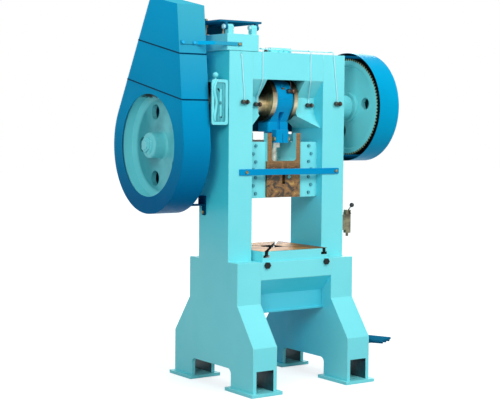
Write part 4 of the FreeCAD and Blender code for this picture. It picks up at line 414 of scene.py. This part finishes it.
def upright_paint():
    """Uprights: enamel, painted shade on inner walls, deeper on the legs' inner walls towards the back and low
    down, painted shade high beside the belt guard and dark painted shade in the tunnels.
    """
    s = Shader("upright_enamel", specular=0.3, coat=0.1, coat_roughness=0.18)
    base = enamel(s, AQUA, AQUA_WORN, AQUA_DUSTY)
    from_middle = s.size(s.at(X))
    in_height = s.spread(s.at(Z), TUNNEL_TOP + 0.0012, TUNNEL_TOP + 0.0002)
    tunnel = s.times(s.within(from_middle, TUNNEL_INNER - 0.0005, TUNNEL_OUTER + 0.0005), in_height)
    wall = s.faces(X, 0.90, 0.95)
    inner = s.times(wall, s.spread(from_middle, TUNNEL_INNER - 0.0015, TUNNEL_INNER - 0.0025))
    # Painted shade on the inner walls, deeper on the legs' inner walls towards the back and low down.
    base = s.blend(inner, base, AQUA_INNER_SHADE)
    leg_shade = s.blend(s.spread(s.at(Y), *LEG_SHADE), AQUA, AQUA_LEG_SHADE)
    base = s.blend(s.times(inner, s.spread(s.at(Z), *LEG_TOP)), base, leg_shade)
    # Painted shade on the outer side, high up beside the belt guard.
    left_side = s.times(wall, s.spread(s.at(X), FRAME_LEFT + 0.0020, FRAME_LEFT + 0.0005))
    base = s.blend(s.times(left_side, s.spread(s.at(Z), *GUARD_SHADE)), base, AQUA_SHADED)
    # Dark, mottled painted shade inside the tunnels.
    shade_mottle = s.blend(s.spread(s.noise(scale=26.0), 0.4, 0.6), TUNNEL_SHADE, TUNNEL_SHADE_DARK)
    s.colour(s.blend(tunnel, base, shade_mottle))
    return s.material


def bed_paint():
    """Bed beam: enamel, with painted shade on the panels set back under the front and back aprons."""
    s = Shader("bed_enamel", specular=0.3, coat=0.1, coat_roughness=0.18)
    base = enamel(s, AQUA, AQUA_WORN, AQUA_DUSTY)
    set_back = s.spread(s.size(s.at(Y)), BED_DEPTH - 0.001, BED_DEPTH - 0.004)
    # Painted shade on the set-back panels, deepest on their front faces.
    base = s.blend(set_back, base, AQUA_SET_BACK_SHADE)
    s.colour(s.blend(s.times(set_back, s.faces(Y, 0.90, 0.95)), base, AQUA_PANEL_SHADE))
    return s.material


def flywheel_paint():
    """Flywheel: clean rim, painted shade in patches on the web, black belt tracks, and black across the top as
    grease and painted shadow of the guard.
    """
    s = Shader("flywheel_enamel", specular=0.3, coat=0.1, coat_roughness=0.2)
    base = enamel(s, AQUA, AQUA_WORN, AQUA_DUSTY)
    radius = s.radius(BACK_Y, BACK_Z)
    web = s.within(radius, FLYWHEEL_HUB + 0.004, FLYWHEEL_WEB + 0.002, soft=0.010)
    # Painted shade: the web drawn darker in noisy patches.
    web_shade = s.times(web, s.spread(s.noise(scale=3.0, detail=3.0), 0.30, 0.60))
    base = s.blend(web_shade, base, AQUA_WEB_SHADE)
    # Painted shadow of the guard's top, black like grease, with a ragged lower edge.
    ragged_edge = s.times(s.noise(scale=24.0, detail=4.0, roughness=0.6), 0.06)
    guard_shadow = s.beyond(s.plus(s.at(Z), ragged_edge), BACK_Z + RIM_INSIDE - 0.001, 0.006)
    base = s.blend(guard_shadow, base, GREASE_AND_SHADE)
    track = s.times(s.beyond(radius, FLYWHEEL_RIM - 0.015), s.faces_across(X))
    s.colour(s.blend(track, base, GREASE_AND_SHADE))
    return s.material


def shaft_paint():
    """Back shaft: bare steel, its end at the flywheel enamelled over with the nut."""
    s = Shader("back_shaft_steel")
    marks = s.noise(scale=90.0, detail=4.0, roughness=0.6, stretch=(8, 1, 1))
    bare = s.blend(s.spread(marks, 0.4, 0.6), SHAFT_STEEL, SHAFT_DARK)
    painted = s.spread(s.at(X), SHAFT_END + SHAFT_STUB + 0.001, SHAFT_END + SHAFT_STUB - 0.001)
    s.colour(s.blend(painted, bare, AQUA))
    s.rough(marks, 0.25, 0.45)
    s.bump((marks, 0.00008), rounding=0.0015)
    return s.material


def brake_box_paint():
    """Brake housing: bright rim round its front plate, painted shade with streaks on the set-back panel inside it.
    """
    s = Shader("brake_housing_enamel", specular=0.3, coat=0.1, coat_roughness=0.2)
    base = enamel(s, AQUA, AQUA_WORN, AQUA_DUSTY)
    streak = s.noise(scale=24.0, detail=4.0, roughness=0.6, stretch=(1.6, 1, 0.35))
    # Painted shade on the set-back panel, streaked.
    panel = s.blend(s.spread(streak, 0.42, 0.60), PANEL_SHADE, PANEL_SHADE_STREAK)
    s.colour(s.blend(s.beyond(s.at(Y), BRAKE_FRONT + 0.003, 0.0008), base, panel))
    return s.material


def fitting_metal():
    """Oil fittings black with age; the distributor on the crown is enamelled like the frame."""
    s = Shader("fitting_black")
    wear = s.noise(scale=70.0, detail=3.0)
    old = s.blend(s.spread(wear, 0.42, 0.60), FITTING_OLD, FITTING_RUSTY)
    along = s.within(s.at(X), -DISTRIBUTOR_HALF - 0.0005, DISTRIBUTOR_HALF + 0.0005)
    distributor = s.times(along, s.beyond(s.at(Z), FRAME_TOP - 0.005))
    s.colour(s.blend(distributor, old, AQUA))
    s.rough(wear, 0.30, 0.5)
    s.bump((wear, 0.00006), rounding=0.001)
    return s.material


def crank_steel():
    """Crank webs: turned steel with a painted highlight across the middle, darker towards top and bottom."""
    s = Shader("oiled_crank", metallic=0.85)
    stain = s.noise(scale=11.0, detail=5.0, roughness=0.7, distortion=0.8)
    groove = s.rings(s.radius(0.0, CRANK_Z), pitch=0.0012)
    # Painted highlight across the middle with a jagged edge, darker above and below it.
    height = s.size(s.minus(s.at(Z), CRANK_Z + 0.01))
    height = s.plus(height, s.times(stain, 0.10))
    s.colour(s.blend(s.spread(height, 0.050, 0.125), WEB_HIGHLIGHT, WEB_DARK))
    s.rough(stain, 0.28, 0.48)
    s.bump((groove, 0.00004), (stain, 0.0002), rounding=0.0015)
    return s.material


def gib_bolt_paint():
    """Bolt heads painted over on top, with mottled painted shade round their flanks."""
    s = Shader("gib_bolt_enamel", specular=0.3)
    shade_mottle = s.noise(scale=80.0, detail=3.0)
    # Painted shade on the flanks, mottled.
    flank = s.blend(s.spread(shade_mottle, 0.4, 0.6), FLANK_SHADE, FLANK_HALF_SHADE)
    s.colour(s.blend(s.faces(Y, 0.8, 0.9), flank, HEAD_PAINT))
    s.bump((shade_mottle, 0.00006), rounding=0.001)
    return s.material


def small_bolts():
    """Fasteners of the frame: black under the table, yellow-passivated elsewhere, blue on the guard."""
    s = Shader("frame_fasteners", metallic=0.5)
    wear = s.noise(scale=60.0, detail=3.0)
    gold = s.blend(s.spread(wear, 0.4, 0.6), BOLT_GOLD, BOLT_GOLD_DARK)
    above_bed = s.beyond(s.at(Z), BED_TOP + 0.015)
    right_of_guard = s.beyond(s.at(X), GUARD_BOLTS)
    s.colour(s.blend(right_of_guard, GUARD, s.blend(above_bed, BOLT_BLACK, gold)))
    s.rough(wear, 0.32, 0.5)
    s.bump((wear, 0.00006), rounding=0.001)
    return s.material


def drum_paint():
    """Gear guard: blue enamel outside, inside black as grease and painted shade; its plate shows pale through the
    gear.
    """
    s = Shader("gear_guard_enamel", specular=0.03, tint=BLUE_SHINE)
    base = enamel(s, DRUM, GUARD_WORN, DRUM_DUSTY, wave=0.0003, rounding=0.002)
    # Grease and painted shade: faces inside the drum, turned towards the gear's axis, black.
    base = s.blend(s.beyond(s.inwards(0.0, CRANK_Z), 0.0), base, GREASE_AND_SHADE)
    plate = s.times(s.faces(X, 0.9, 0.95), s.within(s.at(X), 0.62, GUARD_FAR_SIDE - 0.0019))
    seen = s.spread(s.radius(0.0, CRANK_Z), DRUM_PLATE_SEEN + 0.002, DRUM_PLATE_SEEN - 0.002)
    s.colour(s.blend(s.times(plate, seen), base, AQUA))
    return s.material


def guard_paint():
    """Belt guard: blue enamel with painted light towards its top, painted shade towards its low end, a painted
    highlight high and painted shade low on its front, and dark seams at its two joints.
    """
    s = Shader("guard_enamel", tint=BLUE_SHINE)
    base = enamel(s, GUARD, GUARD_WORN, GUARD_DUSTY, wave=0.0003, rounding=0.003)
    up = s.times(s.minus(s.at(Z), BACK_Z), math.cos(GUARD_LEAN))
    back = s.times(s.minus(s.at(Y), BACK_Y), -math.sin(GUARD_LEAN))
    along = s.plus(up, back)
    # Painted light towards the top, a painted highlight and shade on the front faces, painted shade towards the
    # low end.
    base = s.blend(s.spread(s.at(Z), BACK_Z + 0.35, BACK_Z + 0.85), base, GUARD_TOP_LIGHT)
    strip = s.blend(s.spread(s.at(Z), BACK_Z + 0.25, BACK_Z + 0.90), STRIP_LOW_SHADE, STRIP_TOP_HIGHLIGHT)
    base = s.blend(s.spread(s.faces(X), 0.3, 0.1), base, strip)
    base = s.blend(s.spread(s.at(Z), BACK_Z + 0.25, BACK_Z - 0.35), base, GUARD_LOW_SHADE)
    for seam in GUARD_SEAMS:
        near = s.size(s.minus(along, seam))
        base = s.blend(s.spread(near, 0.0046, 0.0036), base, GUARD_SEAM)
    s.colour(base)
    s.link(s.spread(s.faces_up(), 0.0, 1.0, 0.03, 0.0), s.bsdf.inputs["Specular IOR Level"])
    return s.material


# ---------------------------------------------------------------- materials shared by several nodes
aqua = paint("aqua_enamel", AQUA, AQUA_WORN, AQUA_DUSTY, specular=0.3, coat=0.1)
bright_blue = paint("bright_blue_enamel", srgb(6, 152, 203), srgb(64, 182, 222), srgb(3, 140, 193),
                    specular=0.3, coat=0.0, tint=BLUE_SHINE, rounding=0.003)
dark_blue = paint("dark_blue_enamel", srgb(28, 114, 147), srgb(62, 150, 180), srgb(22, 102, 136),
                  specular=0.0, coat=0.0, rounding=0.003)
# The blue drawn darker as painted shade, for the rear crank cover and the guard brackets, which sit in shadow.
deep_blue_shade = paint("deep_blue_enamel", srgb(2, 80, 116), srgb(26, 104, 140), srgb(1, 68, 100),
                  specular=0.0, coat=0.0, rounding=0.003)
pale_aqua = paint("pipe_enamel", srgb(190, 236, 240), srgb(220, 246, 248), srgb(176, 228, 234),
                  rounding=0.001)
steel = metal("turned_steel", srgb(190, 182, 160), srgb(110, 102, 84), scale=90.0, stretch=(8, 1, 1))
dark_steel = metal("dark_steel", srgb(110, 96, 70), srgb(44, 40, 34))
copper = metal("copper", srgb(124, 84, 70), srgb(48, 40, 36), scale=80.0, stretch=(8, 1, 1), metallic=0.6)
clamp_gold = metal("clamp_gold", srgb(196, 186, 140), srgb(120, 110, 78), scale=70.0, metallic=0.5)
bronze = metal("bronze", srgb(190, 146, 80), srgb(120, 86, 44), scale=80.0, stretch=(8, 1, 1))
bright_steel = metal("bright_steel", srgb(236, 232, 218), srgb(160, 150, 128), scale=90.0,
                     stretch=(1, 1, 8), metallic=0.6)
pump_iron = metal("pump_iron", srgb(136, 130, 104), srgb(70, 64, 50), scale=70.0, metallic=0.5)
black = metal("black_knob", srgb(14, 14, 14), srgb(8, 8, 8), scale=40.0, roughness=(0.45, 0.6),
              metallic=0.0, bump=0.00002)
old_fittings = fitting_metal()
uprights = upright_paint()
greased_gear = gear_iron("gear_enamel", 0.0, CRANK_Z, rim=GEAR_TIPS - 0.0135, tips=GEAR_TIPS - 0.003)
greased_pinion = gear_iron("pinion_grease", BACK_Y, BACK_Z, rim=0.030, tips=0.034)

by_slot = {
    "body_paint": aqua, "guard_paint": guard_paint(), "blue_paint": bright_blue,
    "slide_iron": slide_iron(), "table_iron": table_iron(), "bright_steel": steel,
    "dark_steel": dark_steel, "gear_iron": aqua, "bronze": bronze, "black_knob": black,
}
by_node = {
    "left_upright": uprights, "right_upright": uprights, "bed_beam": bed_paint(),
    "crankshaft": crank_steel(), "lock_nut": bright_steel, "adjusting_screw": bright_steel,
    "clamp_bolt": clamp_gold, "crank_gear": greased_gear, "pinion": greased_pinion,
    "clutch_sleeve": aqua, "flywheel": flywheel_paint(), "flywheel_nut": aqua,
    "back_shaft": shaft_paint(), "gear_guard": drum_paint(), "guard_brackets": deep_blue_shade,
    "rear_crank_cover": deep_blue_shade, "brake_housing": brake_box_paint(), "brake_pins": aqua,
    "motor_plate": dark_blue, "hinge_pins": pale_aqua, "foot_pedal": dark_blue,
    "oil_pump": pump_iron, "oil_pipes": pale_aqua, "oil_fittings": old_fittings,
    "rod_oil_fitting": old_fittings, "frame_bolts": small_bolts(), "gib_bolts": gib_bolt_paint(),
}
slot_of = {part["node"]: part["material_slot"] for part in frame["record"]["subparts"]}
for name in nodes:
    mesh = nodes[name].data
    mesh.materials.clear()
    mesh.materials.append(by_node.get(name, by_slot[slot_of[name]]))


# ---------------------------------------------------------------- small surface pieces
def ring(shell, centre, turn, radius, sides):
    """A circle of vertices round the turned Z axis."""
    vertices = []
    for k in range(sides):
        angle = 2 * math.pi * k / sides
        offset = Vector((radius * math.cos(angle), radius * math.sin(angle), 0))
        vertices.append(shell.verts.new(centre + turn @ offset))
    return vertices


def skin(shell, rings):
    """Faces between neighbouring rings, and one over each end."""
    sides = len(rings[0])
    for first, second in zip(rings, rings[1:]):
        for k in range(sides):
            after = (k + 1) % sides
            shell.faces.new((first[k], first[after], second[after], second[k]))
    shell.faces.new(reversed(rings[0]))
    shell.faces.new(rings[-1])


def finish_piece(name, shell, body, material):
    bmesh.ops.recalc_face_normals(shell, faces=shell.faces)
    mesh = bpy.data.meshes.new(name)
    shell.to_mesh(mesh)
    shell.free()
    for face in mesh.polygons:
        face.use_smooth = len(face.vertices) == 4
    mesh.materials.append(material)
    piece = bpy.data.objects.new(name, mesh)
    bpy.context.scene.collection.objects.link(piece)
    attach(piece, body)


def lathe(name, profile, place, along, body, material, sides=24):
    """A turned piece: (distance along, radius) pairs swept round a line from place."""
    turn = Vector((0, 0, 1)).rotation_difference(Vector(along)).to_matrix()
    shell = bmesh.new()
    rings = []
    for distance, radius in profile:
        centre = Vector(place) + turn @ Vector((0, 0, distance))
        rings.append(ring(shell, centre, turn, radius, sides))
    skin(shell, rings)
    finish_piece(name, shell, body, material)


def smooth_line(route, radii, steps):
    """Points with radii on one smooth curve through the route, a cubic between each two points."""
    points = [Vector(point) for point in route]
    ends = [points[0] * 2 - points[1]] + points + [points[-1] * 2 - points[-2]]
    line = []
    for k in range(len(points) - 1):
        a, b, c, d = ends[k:k + 4]
        for step in range(steps):
            u = step / steps
            square = (2 * a - 5 * b + 4 * c - d) * u * u
            cube = (3 * b - a - 3 * c + d) * u ** 3
            point = (2 * b + (c - a) * u + square + cube) / 2
            line.append((point, radii[k] + (radii[k + 1] - radii[k]) * u))
    line.append((points[-1], radii[-1]))
    return line


def tube(name, route, radii, body, material, sides=16, steps=10):
    """A rounded bar through the route's points, with a radius at each point."""
    line = smooth_line(route, radii, steps)
    shell = bmesh.new()
    rings = []
    for k, (point, radius) in enumerate(line):
        before = line[max(k - 1, 0)][0]
        after = line[min(k + 1, len(line) - 1)][0]
        turn = Vector((0, 0, 1)).rotation_difference((after - before).normalized()).to_matrix()
        rings.append(ring(shell, point, turn, radius, sides))
    skin(shell, rings)
    finish_piece(name, shell, body, material)


def oil_tee(place, body, arm_name, nut_name):
    """The cross arm of an oil fitting: a black tee with its copper blanking nut on the right."""
    arm = [(-0.025, 0.006), (-0.024, 0.013), (-0.010, 0.014), (-0.008, 0.011), (0.011, 0.011)]
    nut = [(0.011, 0.013), (0.012, 0.015), (0.023, 0.015), (0.027, 0.010), (0.029, 0.004)]
    lathe(arm_name, arm, place, (1, 0, 0), body, old_fittings)
    lathe(nut_name, nut, place, (1, 0, 0), body, copper, sides=6)


def oil_tees():
    """One tee on each fitting of the uprights and the bearing housings, and one on the rod's."""
    spots = [(x, PILLAR_FRONT - FITTING_PROUD, PILLAR_FITTINGS_Z) for x in PILLAR_FITTINGS]
    spots += [(x, HOUSING_FRONT - FITTING_PROUD, HOUSING_FITTINGS_Z) for x in HOUSING_FITTINGS]
    for number, spot in enumerate(spots, 1):
        oil_tee(spot, "frame", "oil_tee_%d" % number, "oil_tee_nut_%d" % number)
    low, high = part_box("rod_oil_fitting")
    place = ((low[X] + high[X]) / 2, low[Y] + 0.006, low[Z] + 0.009)
    oil_tee(place, "rod", "rod_oil_tee", "rod_oil_tee_nut")


def ram_plug():
    """Painted grease plug on the front of the ram, under the bar's right half."""
    dome = [(-0.002, 0.011), (0.004, 0.011), (0.006, 0.008), (0.010, 0.007), (0.012, 0.004)]
    place = (RAM_PLUG_X, RAM_FRONT, RAM_PLUG_Z)
    lathe("ram_grease_plug", dome, place, (0, -1, 0), "ram", aqua)


def brake_arm():
    """Cast arm on the brake's front plate, from under the tension screw's ball down, and a rib."""
    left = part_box("brake_housing")[LOW][X]
    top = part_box("brake_housing")[HIGH][Z]
    arm = [(0.036, 0.004), (0.020, 0.040), (0.016, 0.075), (0.030, 0.125), (0.028, 0.175),
           (0.018, 0.225), (0.022, 0.250)]
    arm = [(left + across, BRAKE_FRONT - 0.002, top - down) for across, down in arm]
    arm_radii = (0.006, 0.008, 0.010, 0.008, 0.008, 0.009, 0.006)
    tube("brake_arm", arm, arm_radii, "frame", aqua)
    rib = [(0.066, 0.060), (0.064, 0.140), (0.066, 0.225)]
    rib = [(left + across, BRAKE_FRONT + 0.004, top - down) for across, down in rib]
    tube("brake_rib", rib, (0.007, 0.008, 0.007), "frame", aqua)


def pedal_ribs():
    """Three rounded ribs under the pedal's tread, along its turned length."""
    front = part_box("foot_pedal")[LOW][Y]
    tread = Vector((TREAD_X, front + TREAD_INSET, TREAD_UNDER))
    turn = Matrix.Rotation(TREAD_TURN, 3, "Z")
    radii = (0.008, 0.010, 0.008)
    for number, across in enumerate((-0.052, 0.0, 0.052), 1):
        route = [tread + turn @ Vector((across, along, -0.005)) for along in (-0.081, 0.0, 0.070)]
        tube("pedal_rib_%d" % number, route, radii, "pedal", dark_blue, steps=4)


oil_tees()
ram_plug()
brake_arm()
pedal_ribs()

# ---------------------------------------------------------------- studio
FLOOR_HALF = 30
FLOOR_GREY = srgb(180, 182, 184)
FLOOR_DROP = 0.001                     # below the feet, so that no face lies in another
GLOW_NEAR = (1.2, 0.74)                # distance from the middle, and the glow that is shown there
GLOW_FAR = (4.0, 1.0)
SKY = srgb(168, 236, 255)
SKY_STRENGTH = 0.30
LAMPS = (                              # name, place, target, size and power
    ("key", (0.8, -5.0, 5.0), (0, 0, 1.3), 3.0, 234),
    ("fill", (-5.6, -4.6, 3.9), (0, 0, 1.5), 2.5, 190),
    ("top", (0.0, 0.3, 7.0), (0, 0, 1.0), 4.0, 150),
    ("rear", (5.2, 6.2, 4.6), (0, 0, 1.2), 3.0, 210),
)


def shown_white(tree):
    """1 for rays from the camera and for reflections and refractions of the backdrop."""
    ray = tree.nodes.new("ShaderNodeLightPath")
    total = ray.outputs["Is Camera Ray"]
    for name in ("Is Glossy Ray", "Is Transmission Ray"):
        node = tree.nodes.new("ShaderNodeMath")
        node.operation = "MAXIMUM"
        tree.links.new(total, node.inputs[0])
        tree.links.new(ray.outputs[name], node.inputs[1])
        total = node.outputs["Value"]
    return total


def choose(tree, lit, shown, output):
    """The lit shader for light on the object, the shown one for the camera and for reflections."""
    mix = tree.nodes.new("ShaderNodeMixShader")
    tree.links.new(shown_white(tree), mix.inputs["Fac"])
    tree.links.new(lit, mix.inputs[1])
    tree.links.new(shown, mix.inputs[2])
    tree.links.new(mix.outputs["Shader"], tree.nodes[output].inputs["Surface"])


def floor_material():
    """Pale floor that shows white where it is lit and keeps the object's shadow."""
    material = bpy.data.materials.new("pale_floor")
    material.use_nodes = True
    tree = material.node_tree
    bsdf = tree.nodes["Principled BSDF"]
    bsdf.inputs["Base Color"].default_value = FLOOR_GREY
    bsdf.inputs["Roughness"].default_value = 0.9
    bsdf.inputs["Specular IOR Level"].default_value = 0.0
    place = tree.nodes.new("ShaderNodeTexCoord")
    distance = tree.nodes.new("ShaderNodeVectorMath")
    distance.operation = "LENGTH"
    tree.links.new(place.outputs["Object"], distance.inputs[0])
    rise = tree.nodes.new("ShaderNodeMapRange")
    rise.inputs["From Min"].default_value, rise.inputs["To Min"].default_value = GLOW_NEAR
    rise.inputs["From Max"].default_value, rise.inputs["To Max"].default_value = GLOW_FAR
    tree.links.new(distance.outputs["Value"], rise.inputs["Value"])
    glow = tree.nodes.new("ShaderNodeEmission")
    tree.links.new(rise.outputs["Result"], glow.inputs["Strength"])
    both = tree.nodes.new("ShaderNodeAddShader")
    tree.links.new(bsdf.outputs["BSDF"], both.inputs[0])
    tree.links.new(glow.outputs["Emission"], both.inputs[1])
    choose(tree, bsdf.outputs["BSDF"], both.outputs["Shader"], "Material Output")
    return material


def lay_floor():
    mesh = bpy.data.meshes.new("floor")
    sheet = bmesh.new()
    bmesh.ops.create_grid(sheet, x_segments=1, y_segments=1, size=FLOOR_HALF)
    sheet.to_mesh(mesh)
    sheet.free()
    mesh.materials.append(floor_material())
    floor = bpy.data.objects.new("floor", mesh)
    floor.location = (0, 0, -FLOOR_DROP)
    bpy.context.scene.collection.objects.link(floor)


def light_world():
    """Soft cool light from all round, which the camera and reflections see as a white backdrop."""
    world = bpy.data.worlds.new("studio")
    bpy.context.scene.world = world
    world.use_nodes = True
    tree = world.node_tree
    sky = tree.nodes["Background"]
    sky.inputs["Color"].default_value = SKY
    sky.inputs["Strength"].default_value = SKY_STRENGTH
    backdrop = tree.nodes.new("ShaderNodeBackground")
    backdrop.inputs["Color"].default_value = WHITE
    backdrop.inputs["Strength"].default_value = 1.0
    choose(tree, sky.outputs["Background"], backdrop.outputs["Background"], "World Output")


def area_light(name, place, target, size, power):
    data = bpy.data.lights.new(name, "AREA")
    data.shape = "RECTANGLE"
    data.size = size
    data.size_y = size
    data.energy = power
    lamp = bpy.data.objects.new(name, data)
    lamp.location = place
    aim = Vector(target) - Vector(place)
    lamp.rotation_euler = aim.to_track_quat("-Z", "Y").to_euler()
    bpy.context.scene.collection.objects.link(lamp)


lay_floor()
light_world()
for lamp in LAMPS:
    area_light(*lamp)

# ---------------------------------------------------------------- camera
CAMERA_PLACE = (-4.7044, -6.4830, 1.6284)
CAMERA_YAW = math.radians(34.949)      # to the right of +Y
CAMERA_PITCH = math.radians(3.446)     # downwards
CAMERA_ROLL = math.radians(0.513)      # anticlockwise, seen from behind the camera
CAMERA_LENS = 89.94                    # millimetres on a sensor 36 wide


def place_camera():
    ahead = Vector((math.sin(CAMERA_YAW), math.cos(CAMERA_YAW), 0))
    right = Vector((math.cos(CAMERA_YAW), -math.sin(CAMERA_YAW), 0))
    forward = ahead * math.cos(CAMERA_PITCH) - Vector((0, 0, 1)) * math.sin(CAMERA_PITCH)
    up = Vector((0, 0, 1)) * math.cos(CAMERA_PITCH) + ahead * math.sin(CAMERA_PITCH)
    side = right * math.cos(CAMERA_ROLL) + up * math.sin(CAMERA_ROLL)
    top = up * math.cos(CAMERA_ROLL) - right * math.sin(CAMERA_ROLL)
    turn = Matrix((side, top, -forward)).transposed().to_4x4()
    data = bpy.data.cameras.new("camera")
    data.lens = CAMERA_LENS
    data.sensor_width = 36.0
    data.clip_end = 100.0
    camera = bpy.data.objects.new("camera", data)
    camera.matrix_world = Matrix.Translation(CAMERA_PLACE) @ turn
    bpy.context.scene.collection.objects.link(camera)
    bpy.context.scene.camera = camera


place_camera()
bpy.context.scene.view_settings.view_transform = "Standard"
